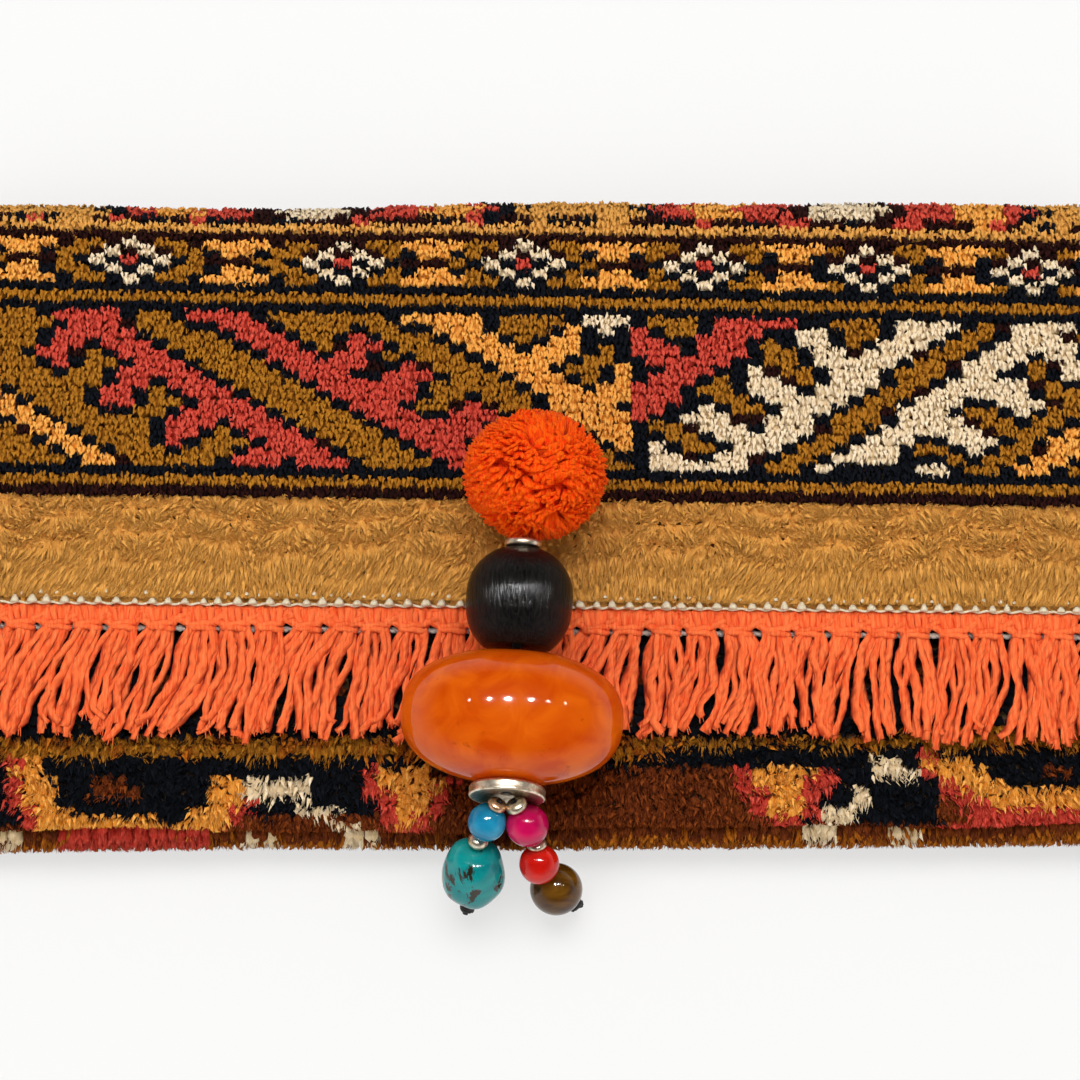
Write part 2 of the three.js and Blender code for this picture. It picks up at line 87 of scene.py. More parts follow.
# a pattern's scale from the size of its grains in mm along x, y and z
def perGrain(*sizes):
    return [1 / (size * mm) for size in sizes]


# 1 for what the camera sees itself, in a gloss or through glass
def seenShare(tree):
    rays = addNode(tree, "LightPath").node.outputs
    share = rays["Is Camera Ray"]
    for ray in ("Is Glossy Ray", "Is Transmission Ray"):
        share = addNode(tree, "Math", {0: share, 1: rays[ray]}, operation="MAXIMUM")
    return share


def unit(vectors):
    return vectors / np.maximum(np.linalg.norm(vectors, axis=-1, keepdims=True), 1e-9)


def jitter(count, amount):
    return rng.uniform(-amount, amount, count)


def hump(value, at, wide):
    return np.exp(-((value - at) / wide) ** 2)


# solids of stacked rings: bodies x rings x sides x 3, with a cap at the foot and a tip or cap at the head
def ringSolids(rings, tips=None, share=None, tipShare=1.0):
    count, steps, sides = rings.shape[:3]
    number = np.arange(count * steps * sides).reshape(count, steps, sides)
    after = np.roll(number, -1, axis=2)
    walls = np.stack([number[:, :-1], after[:, :-1], after[:, 1:], number[:, 1:]], -1)
    faces = [walls.reshape(-1, 4), number[:, 0, ::-1]]
    points = rings.reshape(-1, 3)
    share = np.linspace(0, 1, steps) if share is None else np.asarray(share)
    shares = np.broadcast_to(share[None, :, None], number.shape).reshape(-1)
    head = number[:, -1]
    if tips is None:
        faces.append(head)
    else:
        top = np.broadcast_to(len(points) + np.arange(count)[:, None], head.shape)
        faces.append(np.stack([head, np.roll(head, -1, axis=1), top], -1).reshape(-1, 3))
        points = np.concatenate([points, tips])
        shares = np.concatenate([shares, np.full(count, tipShare)])
    return points, faces, shares


plyShade = 1.6  # how much darker a yarn is between its plies


# tubes along paths: bodies x stations x 3, with widths across and through, and a twisted lobed section;
# the last argument sets how much painted shade the underside of a tube gets against its top, and plyShade
# paints shade in the grooves between its plies
def tubes(paths, wide, thick, sides=8, plies=0, twist=0.0, depth=0.14, up=(0, 0, 1), roll=0.0, paintedShade=0.0):
    along = unit(np.gradient(paths, axis=1))
    across = unit(np.cross(np.broadcast_to(np.array(up, float), along.shape), along))
    through = np.cross(along, across)
    angle = fullTurn * np.arange(sides) / sides
    wide, thick, roll = (np.broadcast_to(np.asarray(value, float), paths.shape[:2])[:, :, None]
                         for value in (wide, thick, roll))
    spread = np.ones(paths.shape[:2] + (sides,))
    if plies:
        run = np.cumsum(np.linalg.norm(np.diff(paths, axis=1), axis=2), axis=1)
        run = np.pad(run, ((0, 0), (1, 0)))[:, :, None]
        spread = 1 + depth * np.cos(plies * angle + twist * run)
    flat = spread * np.cos(angle) * wide / 2
    tall = spread * np.sin(angle) * thick / 2
    sideways = (flat * np.cos(roll) - tall * np.sin(roll))[..., None]
    upward = (flat * np.sin(roll) + tall * np.cos(roll))[..., None]
    rings = paths[:, :, None, :] + across[:, :, None, :] * sideways + through[:, :, None, :] * upward
    points, faces, shares = ringSolids(rings)
    # painted shade on the underside of each tube and in the grooves between its plies
    if paintedShade:
        lift = rings[..., 2] - paths[:, :, None, 2]
        under = 0.5 - 0.5 * lift / np.abs(lift).max(axis=2, keepdims=True)
        shares = (1 - paintedShade * under - plyShade * np.maximum(1 - spread, 0)).reshape(-1)
    return points, faces, shares


# a closed turned profile of radius and height about a bored axis, foot first
def turned(profile, at, axis, sides=48):
    profile = np.array(profile, float)
    axis = unit(np.array(axis, float))
    side = unit(np.cross(axis, (0.0, 0.0, 1.0) if abs(axis[2]) < 0.9 else (1.0, 0.0, 0.0)))
    angle = (fullTurn * np.arange(sides) / sides)[:, None]
    ring = side * np.cos(angle) + np.cross(axis, side) * np.sin(angle)
    points = np.array(at, float) + profile[:, None, 1:] * axis + profile[:, None, :1] * ring
    number = np.arange(len(profile) * sides).reshape(-1, sides)
    after, above = np.roll(number, -1, axis=1), np.roll(number, -1, axis=0)
    faces = np.stack([number, after, np.roll(above, -1, axis=1), above], -1).reshape(-1, 4)
    return points.reshape(-1, 3), [faces], np.ones(number.size)


# one piece from solids of points in mm, faces, shares and, on soft wool, the way that each point stands
def addPiece(name, solids, material, body, stands=(), soft=0.0):
    points = np.concatenate([solid[0] for solid in solids]) * mm
    shares = np.concatenate([solid[2] for solid in solids])
    corners, sizes, shift = [], [], 0
    for solid in solids:
        for face in solid[1]:
            corners.append((face + shift).ravel())
            sizes.append(np.full(len(face), face.shape[1]))
        shift += len(solid[0])
    corners, sizes = np.concatenate(corners), np.concatenate(sizes)
    mesh = bpy.data.meshes.new(name)
    mesh.vertices.add(len(points))
    mesh.vertices.foreach_set("co", points.astype(np.float32).ravel())
    mesh.loops.add(len(corners))
    mesh.loops.foreach_set("vertex_index", corners.astype(np.int32))
    mesh.polygons.add(len(sizes))
    mesh.polygons.foreach_set("loop_start", (np.cumsum(sizes) - sizes).astype(np.int32))
    mesh.polygons.foreach_set("use_smooth", np.ones(len(sizes), bool))
    mesh.update(calc_edges=True)
    mesh.validate()
    if soft:
        # wool shades as one soft face: each vertex looks partly the way its tuft stands
        facing = np.empty(len(points) * 3, np.float32)
        mesh.vertex_normals.foreach_get("vector", facing)
        stand = np.concatenate([solid[3] for solid in solids])
        mesh.normals_split_custom_set_from_vertices(unit((1 - soft) * facing.reshape(-1, 3) + soft * stand))
    mesh.attributes.new("tip", "FLOAT", "POINT").data.foreach_set("value", shares.astype(np.float32))
    mesh.materials.append(material)
    piece = bpy.data.objects.new(name, mesh)
    bpy.context.scene.collection.objects.link(piece)
    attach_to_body(piece, body)
    if stands:
        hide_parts(*stands)
    print(name, int((sizes - 2).sum()), "triangles")
    return piece


# the camera stands over the bottom edge and looks down
view = {"target": (0.0, -0.0084, 0.024), "away": 0.8, "elevation": 75, "lens": 111.1, "sensor": 36}
lookDown = math.radians(view["elevation"])
cameraData = bpy.data.cameras.new("camera")
cameraData.lens = view["lens"]
cameraData.sensor_width = view["sensor"]
camera = bpy.data.objects.new("camera", cameraData)
camera.location = (view["target"][0],
                   view["target"][1] - view["away"] * math.cos(lookDown),
                   view["target"][2] + view["away"] * math.sin(lookDown))
camera.rotation_euler = (math.pi / 2 - lookDown, 0, 0)
bpy.context.scene.collection.objects.link(camera)
bpy.context.scene.camera = camera
bpy.context.scene.view_settings.view_transform = "Standard"

# soft boxes light the bag, and a row of small lamps only shows as sparks on its gloss
lamps = {
    "overhead": {"at": (0.0, 0.4, 1.25), "size": (1.1, 0.8), "power": 9.6},
    "leftFront": {"at": (-0.95, -0.75, 0.75), "size": (1.2, 0.9), "power": 4.3},
    "rightFront": {"at": (1.0, -0.75, 0.7), "size": (1.2, 0.9), "power": 3.7},
}
spark = {"away": 1.0, "tilt": 7, "sides": (-27, -14, -3, 10.5, 21, 33),
         "size": (0.028, 0.04, 0.052, 0.044, 0.026, 0.026), "power": (0.15, 2.4, 8.0, 3.6, 0.3, 0.3)}
lampAim = (0.0, -0.02, 0.02)


def addLamp(name, at, size, power, mirrored=False):
    lampData = bpy.data.lights.new(name, "AREA")
    lampData.shape = "ELLIPSE"
    lampData.size, lampData.size_y = size
    lampData.energy = power
    lamp = bpy.data.objects.new(name, lampData)
    lamp.location = at
    lamp.visible_glossy = mirrored
    lamp.visible_diffuse = not mirrored
    aim = np.array(lampAim) - np.array(at)
    lamp.rotation_euler = (math.atan2(math.hypot(aim[0], aim[1]), -aim[2]), 0, math.atan2(-aim[0], aim[1]))
    bpy.context.scene.collection.objects.link(lamp)


for name, lamp in lamps.items():
    addLamp(name, **lamp)
tilt = math.radians(spark["tilt"])
for i, (side, size, power) in enumerate(zip(spark["sides"], spark["size"], spark["power"])):
    turn = math.radians(side)
    at = (spark["away"] * math.sin(turn),
          spark["away"] * math.sin(tilt) * math.cos(turn),
          spark["away"] * math.cos(tilt) * math.cos(turn))
    addLamp("spark" + str(i), at, (size, size), power, True)

# the room is an even soft grey to the bag; seen or mirrored, it is white walls under a dim ceiling
room = {"light": "#b8b7b3", "wall": "#ffffff", "ceiling": "#303032", "from": 0.05, "to": 0.55}
world = bpy.data.worlds.new("room")
bpy.context.scene.world = world
world.use_nodes = True
tree = world.node_tree
tree.nodes.clear()
soft = addNode(tree, "Background", {"Color": room["light"], "Strength": 1.0})
skyWay = addNode(tree, "TexCoord", output="Generated")
height = addNode(tree, "SeparateXYZ", {0: skyWay}, "Z")
above = addNode(tree, "MapRange", {"Value": height, "From Min": room["from"], "From Max": room["to"]})
walls = addNode(tree, "Mix", {0: above, 6: room["wall"], 7: room["ceiling"]}, 2, data_type="RGBA")
white = addNode(tree, "Background", {"Color": walls, "Strength": 1.0})
both = addNode(tree, "MixShader", {0: seenShare(tree), 1: soft, 2: white})
addNode(tree, "OutputWorld", {"Surface": both})

# matt paper sheet, a little lifted towards white where the camera sees it
paper = {"colour": "#a2a2a2", "lift": 0.57, "half": 2.5, "below": 0.0002}
material, tree = newTree("white_paper")
lift = addNode(tree, "Math", {0: seenShare(tree), 1: paper["lift"]}, operation="MULTIPLY")
glow = addNode(tree, "Emission", {"Color": (1, 1, 1, 1), "Strength": lift})
matt = addNode(tree, "BsdfDiffuse", {"Color": paper["colour"]})
both = addNode(tree, "AddShader", {0: matt, 1: glow})
addNode(tree, "OutputMaterial", {"Surface": both})
floorMesh = bpy.data.meshes.new("floor")
floorCorners = [(paper["half"] * x, paper["half"] * y, 0) for x, y in ((-1, -1), (1, -1), (1, 1), (-1, 1))]
floorMesh.from_pydata(floorCorners, [], [(0, 1, 2, 3)])
floorMesh.materials.append(material)
floor = bpy.data.objects.new("floor", floorMesh)
floor.location.z = -paper["below"]
bpy.context.scene.collection.objects.link(floor)
print("room ready")


# dyed wool: matt and soft, each tuft a little off in tone, with painted shade at its root and a painted
# highlight at its tip, with fibres along the pile, drawn about ten times as coarse as real ones so that they
# show
def woolMaterial(name, deep, middle, light, fibre=0.3, root=0.55, rootShadeColour="#000000", end=0.25):
    material, tree = newTree(name)
    place = addNode(tree, "TexCoord", output="Object")
    tuft = addNode(tree, "NewGeometry", output="Random Per Island")
    tip = addNode(tree, "Attribute", output="Fac", attribute_name="tip")
    fibreLong = fibre / 0.22
    pileWay = addNode(tree, "Mapping", {"Vector": place, "Scale": perGrain(fibre, fibreLong, fibreLong)})
    strands = addNode(tree, "TexNoise", {"Vector": pileWay, "Scale": 1.0, "Detail": 2.0}, "Fac")
    streak = addNode(tree, "MapRange", {"Value": strands, "From Min": 0.38, "From Max": 0.68})
    tone = addNode(tree, "Mix", {0: tuft, 6: deep, 7: middle}, 2, data_type="RGBA")
    bright = addNode(tree, "Mix", {0: streak, 6: tone, 7: light}, 2, data_type="RGBA")
    # painted shade: low on each tuft the tone is mixed towards the root shade colour
    dark = addNode(tree, "Mix", {0: root, 6: rootShadeColour, 7: tone}, 2, data_type="RGBA")
    depth = addNode(tree, "MapRange", {"Value": tip, "From Min": 0.1, "From Max": 0.8})
    body = addNode(tree, "Mix", {0: depth, 6: dark, 7: bright}, 2, data_type="RGBA")
    # painted highlight: the cut tips are mixed towards the light tone
    tipHighlight = addNode(tree, "MapRange", {"Value": tip, "From Min": 0.88, "From Max": 1.0, "To Max": end})
    colour = addNode(tree, "Mix", {0: tipHighlight, 6: body, 7: light}, 2, data_type="RGBA")
    bump = addNode(tree, "Bump", {"Height": strands, "Strength": 0.7, "Distance": 0.3 * mm})
    shader = addNode(tree, "BsdfPrincipled", {
        "Base Color": colour, "Roughness": 0.92, "Specular IOR Level": 0.05,
        "Sheen Weight": 0.02, "Sheen Roughness": 0.5, "Normal": bump})
    addNode(tree, "OutputMaterial", {"Surface": shader})
    return material


# one rug strip folded round the bag, measured along the pile tips from the flap's end to the mouth
fold = {"flapEnd": -24.5, "level": 54.0, "rise": 2.0, "topOuter": 11.0, "bottomOuter": 8.7, "frontTop": 17.4,
        "mouth": 50.0, "thick": 5.5, "skew": -0.0105, "topSkew": -0.0155}
rugLow, rugHigh = np.array(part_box("rug_shell")) / mm
rugHalf, flapTop = rugHigh[0], rugHigh[2]
topY = rugHigh[1] - fold["topOuter"]
bottomY = rugLow[1] + fold["bottomOuter"]


def arcLine(y, radius, start, end):
    angle = np.radians(np.linspace(start, end, 60))
    return np.stack([y + radius * np.cos(angle), radius + radius * np.sin(angle)], 1)


def levelLine(start, end, z):
    y = np.linspace(start, end, 200)
    return np.stack([y, np.full(len(y), z)], 1)


slopeY = np.linspace(fold["level"], topY, 60)
slopeDrop = fold["rise"] * ((slopeY - fold["level"]) / (topY - fold["level"])) ** 2
line = np.concatenate([
    levelLine(fold["flapEnd"], fold["level"], flapTop),
    np.stack([slopeY, flapTop - slopeDrop], 1),
    arcLine(topY, fold["topOuter"], 90, -90),
    levelLine(topY, bottomY, 0.0),
    arcLine(bottomY, fold["bottomOuter"], 270, 90),
    levelLine(bottomY, fold["mouth"], fold["frontTop"]),
])
apart = np.concatenate([[True], np.linalg.norm(np.diff(line, axis=0), axis=1) > 1e-4])
line = line[apart]
run = np.concatenate([[0], np.cumsum(np.linalg.norm(np.diff(line, axis=0), axis=1))])
rugLength = run[-1]
evenRun = np.linspace(0, rugLength, 1700)
evenLine = np.stack([np.interp(evenRun, run, line[:, i]) for i in (0, 1)], 1)
tangent = unit(np.gradient(evenLine, axis=0))
# the tangent is smoothed over some stations on each side, so that the pile turns gently at the folds
smooth = 6
window = np.ones(2 * smooth + 1) / (2 * smooth + 1)
padded = np.pad(tangent, ((smooth, smooth), (0, 0)), mode="edge")
tangent = unit(np.stack([np.convolve(padded[:, i], window, "valid") for i in (0, 1)], 1))
outward = np.stack([-tangent[:, 1], tangent[:, 0]], 1)
flapRun = fold["level"] - fold["flapEnd"]
slopeRun = np.linalg.norm(np.diff(np.stack([slopeY, slopeDrop], 1), axis=0), axis=1).sum()
backRun = flapRun + slopeRun + math.pi * fold["topOuter"]
bottomRun = backRun + topY - bottomY
frontRun = bottomRun + math.pi * fold["bottomOuter"]
knot = {"columns": 73, "row": 2.45, "tanRow": 2.68, "tanRows": 10, "panelRow": 2.54, "wide": 2 * rugHalf / 73,
        "photoWide": 4.0, "photoMiddle": 32.4, "goldRow": 314.0}
crease = {"row": 9.7, "deep": 3.0, "wide": 1.4, "bulge": 1.5}
sag = {"level": -0.35, "proud": 1.4, "tuck": 1.3, "foldWide": 11}
creaseRun = knot["goldRow"] - crease["row"] * knot["panelRow"]


def creaseAt(x):
    return creaseRun + 0.9 * np.sin(x / 23) + 0.5 * np.sin(x / 9) + 0.02 * np.maximum(x, 0)


# hand-folded wool is never flat: low waves by the top fold, and a crease over the bottom fold
def swell(x, s):
    wave = 0.5 * np.sin(x / 31 + 0.7) + 0.3 * np.sin(x / 17 + 2.1)
    rightward = np.clip((x + 130) / 260, 0, 1)
    waved = wave * (hump(s, flapRun + 25, 32) + 0.5 * hump(s, creaseRun, 16))
    proud = sag["proud"] * rightward * hump(s, flapRun + slopeRun + 6, sag["foldWide"])
    tuck = sag["tuck"] * rightward * hump(s, bottomRun + 13, sag["foldWide"])
    dent = crease["deep"] * hump(s, creaseAt(x), crease["wide"])
    bulge = crease["bulge"] * hump(s, creaseRun - 6, 6.5)
    return waved + sag["level"] - dent + bulge + proud - tuck


# points over the fold from their place across, their run along it and their offset from the pile tips
def onFold(x, s, offset):
    x, s, offset = np.broadcast_arrays(np.asarray(x, float), np.asarray(s, float), np.asarray(offset, float))
    skewRuns = (0, flapRun, flapRun + 37, backRun + 70)
    s = s + x * np.interp(s, skewRuns, (fold["skew"], fold["topSkew"], fold["topSkew"], 0.0))
    inside = np.clip(s, 0, rugLength)
    y, z = (np.interp(inside, evenRun, evenLine[:, i]) for i in (0, 1))
    outY, outZ = (np.interp(inside, evenRun, outward[:, i]) for i in (0, 1))
    beyond = s - inside
    lift = offset + swell(x, inside)
    y = y + outY * lift + outZ * beyond
    z = z + outZ * lift - outY * beyond
    return np.stack([x, y, np.maximum(z, 0.05)], -1)


# the pattern: one number of a yarn for each knot, drawn by rule from bars, hooks, diamonds and lines
yarns = {
    "tan": ("#cf8a34", "#df9b42", "#eeb05e"), "gold": ("#7c4608", "#a05e0e", "#c08228"),
    "rose": ("#a82016", "#ca3828", "#e25c4a"), "orange": ("#e28018", "#f49a30", "#ffbe62"),
    "cream": ("#e2c08a", "#f2d6aa", "#fdeace"), "navy": ("#040508", "#090b11", "#12161f"),
    "maroon": ("#0c0303", "#1a0706", "#341410"), "brown": ("#481604", "#6a2b09", "#94491a"),
    "tawny": ("#803604", "#a8540c", "#c87a20"),
}
# how much painted shade each yarn gets at its roots and how much painted highlight at its tips; the tan's
# roots are painted light, so that the gaps between its hairs don't show dark
paintedLightByYarn = {"tan": {"root": 0.4, "rootShadeColour": "#f6b65e", "end": 0.15}, "cream": {"root": 0.9},
             "rose": {"root": 0.75}, "orange": {"root": 0.8}, "gold": {"root": 0.7}}
names = list(yarns)
tan, gold, rose, orange, cream, navy, maroon, brown, tawny = range(len(names))
tanLength = knot["tanRows"] * knot["tanRow"]
rows = knot["tanRows"] + int((rugLength - tanLength) / knot["row"])
rowRun = np.concatenate([(np.arange(knot["tanRows"]) + 0.5) * knot["tanRow"],
                         tanLength + (np.arange(rows - knot["tanRows"]) + 0.5) * knot["row"]])
columnX = -rugHalf + (np.arange(knot["columns"]) + 0.5) * knot["wide"]
column, rowAt = np.meshgrid(columnX / knot["photoWide"] + knot["photoMiddle"], np.arange(rows), indexing="xy")
pattern = np.full((rows, knot["columns"]), brown)
chance = rng.random(pattern.shape)

# plain bands from the flap's end up
band = {"tan": 9, "lowDark": 10, "lowGold": 11, "borderTop": 28, "highNavy": 29, "highGold": 30,
        "guardNavy": 31, "guardMiddle": 34, "topDark": 37, "topTan": 38}
pattern[rowAt <= band["tan"]] = tan
for key, yarn in (("lowDark", maroon), ("lowGold", gold), ("highNavy", navy), ("highGold", gold),
                  ("guardNavy", navy), ("topDark", maroon), ("topTan", tan)):
    pattern[rowAt == band[key]] = yarn

# main border: slanting bars with hooked arms, each by its left edge in the top row, lean, width and hooks
bars = [
    {"yarn": orange, "left": -11.4, "lean": 1.05, "wide": 2.7, "rows": (7, 15)},
    {"yarn": rose, "left": 3.0, "lean": 0.97, "wide": 3.2, "rows": (0, 15),
     "hooks": (2, 6, 10, 14), "side": -1, "rise": 1},
    {"yarn": rose, "left": 11.4, "lean": 1.0, "wide": 3.1, "rows": (0, 15),
     "hooks": (5, 8, 12), "side": 1, "rise": -1},
    {"yarn": orange, "left": 24.8, "lean": 0.95, "wide": 3.4, "rows": (0, 13),
     "hooks": (4, 8), "side": 1, "rise": -1},
    {"yarn": rose, "left": 44.1, "lean": -0.82, "wide": 3.0, "rows": (0, 11),
     "hooks": (4, 8), "side": -1, "rise": -1},
    {"yarn": cream, "left": 54.4, "lean": -0.8, "wide": 3.1, "rows": (0, 13),
     "hooks": (4, 8, 12), "side": -1, "rise": -1},
    {"yarn": cream, "left": 61.7, "lean": -0.8, "wide": 2.9, "rows": (0, 14),
     "hooks": (2, 6, 10), "side": 1, "rise": 1},
    {"yarn": orange, "left": 73.2, "lean": -0.8, "wide": 2.4, "rows": (3, 15)},
]
hookSpans = ((-0.6, 2.0), (-0.2, 2.6), (0.8, 3.4), (1.5, 2.7))
mirror = {"at": 37.4, "gap": 0.2}  # the column where the bars turn their lean
# row, and columns from and to
creamDabs = ((0, 35.2, 37.8), (1, 35.8, 37.2), (13, 39.2, 40.3), (14, 39.0, 41.0), (14, 43.0, 45.2),
             (15, 39.2, 45.4), (14, 50.3, 53.8), (15, 48.6, 50.2), (15, 55.2, 56.9))
lastRow = 16
borderRow = band["borderTop"] - rowAt
figure = np.full(pattern.shape, -1)
for bar in bars:
    left = bar["left"] + bar["lean"] * borderRow
    right = left + bar["wide"]
    flare = 0.7 * (borderRow == 0)
    inside = (column >= left - flare) & (column < right + flare)
    inside &= (borderRow >= bar["rows"][0]) & (borderRow <= bar["rows"][1])
    for attach in bar.get("hooks", ()):
        edge = bar["left"] + bar["lean"] * attach + (bar["wide"] if bar["side"] > 0 else 0)
        for j, span in enumerate(hookSpans):
            start, end = sorted(edge + bar["side"] * share for share in span)
            inside |= (borderRow == attach + bar["rise"] * j) & (column >= start) & (column < end)
    if bar["left"] < mirror["at"]:
        inside &= column < mirror["at"] + mirror["gap"]
    elif bar["lean"] < 0:
        inside &= column > mirror["at"] + mirror["gap"]
    figure[inside & (borderRow >= 0) & (borderRow < lastRow)] = bar["yarn"]
for row, start, end in creamDabs:
    figure[(borderRow == row) & (column >= start) & (column < end)] = cream
border = (borderRow >= 0) & (borderRow <= lastRow)
pattern[border] = gold
drawn = figure >= 0
near = np.zeros_like(drawn)
near[1:] |= drawn[:-1]
near[:-1] |= drawn[1:]
near[:, 1:] |= drawn[:, :-1]
near[:, :-1] |= drawn[:, 1:]
pattern[border & near] = navy
pattern[border & near & (chance < 0.12)] = maroon
pattern[drawn] = figure[drawn]
pattern[borderRow == lastRow] = navy

# guard border: rosettes in gold diamonds, with an hourglass between each pair
guardRow = rowAt - band["guardMiddle"]
guard = np.abs(guardRow) <= 2
dark = np.where(guardRow > 0, maroon, navy)
pattern[guard] = dark[guard]
rosettes = [7.5 + 12.75 * n - 0.345 * n * n for n in range(-1, 7)]
for at in rosettes:
    ring = np.round(np.abs(column - at)) + np.abs(guardRow)
    close = guard & (np.abs(column - at) < 5.4)
    pattern[close & (ring >= 4) & (ring <= 5)] = gold
    for reachOut, yarn in ((3, dark), (2, cream), (1, dark), (0, rose)):
        pattern = np.where(close & (ring == reachOut), yarn, pattern)
hourglass = ((2, 0, 1.9, orange), (1, 0, 0.9, orange), (1, 0.9, 1.9, navy), (0, 0, 1.5, maroon))
for left, right in zip(rosettes[:-1], rosettes[1:]):
    off = np.abs(column - (left + right) / 2)
    for row, start, end, yarn in hourglass:
        pattern[(np.abs(guardRow) == row) & (off >= start) & (off < end)] = yarn

# over the top fold and down the back: stepped diamonds on tan
panelStart = bottomRun - 8
backRows = (rowAt > band["topTan"]) & (rowRun[rowAt] < panelStart)
period = {"columns": 33.0, "rows": 18, "first": 18.2, "firstRow": 3}
halfColumns, halfRows = period["columns"] / 2, period["rows"] / 2
across = np.abs((column - period["first"] + halfColumns) % period["columns"] - halfColumns)
down = np.abs((rowAt - band["topTan"] - period["firstRow"] + halfRows) % period["rows"] - halfRows)
step = across + 0.9 * down
pattern[backRows] = tan
for start, end, yarn in ((0, 2.6, cream), (2.6, 4.4, maroon), (4.4, 7.4, rose), (7.4, 10.4, orange),
                         (10.4, 12.0, rose), (12.0, 13.2, navy)):
    pattern[backRows & (step >= start) & (step < end)] = yarn
dots = rowAt == band["topTan"] + 1
pattern[dots & (chance < 0.6)] = maroon
pattern[dots & (chance < 0.2)] = navy
pattern[dots & (chance > 0.9)] = rose

# front panel, rows counted down from its gold line: boats, steps and flowers on navy and brown
panelRow = (knot["goldRow"] - rowRun[rowAt]) / knot["panelRow"]
panelRow = panelRow + 0.032 * np.maximum(column - knot["photoMiddle"], 0)
panel = rowRun[rowAt] >= panelStart
pattern[panel] = brown
pattern[panel & (panelRow < 2.6)] = navy
for start, end, deep in ((-4.5, 13.4, 8.2), (13.4, 23.0, 6.9), (46.0, 56.0, 8.8), (56.0, 72.0, 5.4)):
    pattern[panel & (column >= start) & (column < end) & (panelRow < deep)] = navy


# a line of knots through points of column and row
def stroke(yarn, wide, *points):
    for start, end in zip(points[:-1], points[1:]):
        (fromColumn, fromRow), (overColumns, overRows) = start, np.subtract(end, start)
        columnsOff, rowsOff = column - fromColumn, panelRow - fromRow
        along = (columnsOff * overColumns + rowsOff * overRows) / (overColumns ** 2 + overRows ** 2)
        along = np.clip(along, 0, 1)
        off = np.hypot(columnsOff - along * overColumns, rowsOff - along * overRows)
        pattern[panel & (off <= wide / 2)] = yarn


def dabs(yarn, wide, *places):
    for at, row in places:
        stroke(yarn, wide, (at - 0.3, row), (at + 0.3, row))


stroke(rose, 1.8, (1.2, 2.4), (2.6, 8.2), (12.6, 9.4), (15.0, 4.4))
stroke(orange, 1.9, (2.0, 2.5), (3.7, 8.0), (12.2, 8.6), (13.9, 3.8))
stroke(brown, 1.7, (6.6, 4.2), (7.9, 4.4))
stroke(cream, 1.8, (15.9, 4.2), (18.0, 4.3))
stroke(rose, 1.7, (4.2, 10.7), (11.8, 10.8))
dabs(cream, 1.5, (0.4, 10.4), (19.3, 6.6), (20.4, 8.5), (21.5, 10.6), (16.0, 11.3))
stroke(rose, 1.8, (22.4, 3.4), (24.6, 8.6))
stroke(rose, 1.7, (26.6, 3.8), (24.8, 8.6))
stroke(orange, 2.1, (23.4, 3.0), (25.6, 3.8))
stroke(orange, 2.0, (24.6, 4.5), (24.8, 6.6))
stroke(rose, 1.9, (44.6, 3.8), (46.8, 8.2))
stroke(rose, 1.7, (49.1, 3.2), (47.2, 8.2))
stroke(orange, 2.0, (45.6, 3.2), (47.9, 3.2))
stroke(orange, 1.6, (46.9, 4.4), (46.9, 6.6))
stroke(cream, 2.2, (52.9, 3.0), (53.6, 3.0))
dabs(cream, 1.4, (51.5, 5.5), (50.2, 7.5), (49.1, 10.3), (54.2, 11.2))
stroke(rose, 2.0, (55.6, 2.4), (58.2, 6.4), (64.0, 7.2), (69.0, 5.6))
stroke(orange, 2.0, (56.4, 2.6), (59.4, 5.4), (64.2, 6.2), (69.0, 4.2))
stroke(rose, 1.8, (56.7, 9.2), (64.5, 9.0))
stroke(brown, 1.5, (62.6, 3.4), (63.4, 3.4))
goldLine = panel & (np.abs(panelRow - 0.2) < 0.75)
pattern[goldLine] = np.where(chance < 0.75, gold, tawny)[goldLine]
under = panel & (panelRow < -0.55)
pattern[under] = navy
pattern[under & (column % 9 < 3) & (panelRow % 7 < 2)] = brown
print("pattern of", pattern.size, "knots")

# tuft shapes: sides, and stations up to the tip as shares of drift, sweep and rise with the size there
bedShape = {"sides": 4, "stations": ((0.0, 0.0, 0.0, 0.9), (0.3, 0.3, 0.74, 1.0))}
endShape = {"sides": 3, "stations": ((0.0, 0.0, 0.0, 0.85), (0.45, 0.45, 1.04, 1.0))}
hairShape = {"sides": 3, "stations": ((0.0, 0.0, 0.0, 1.0),)}
curlShape = {"sides": 3, "stations": ((0.0, 0.0, 0.0, 0.9), (0.35, 0.3, 0.78, 1.0))}
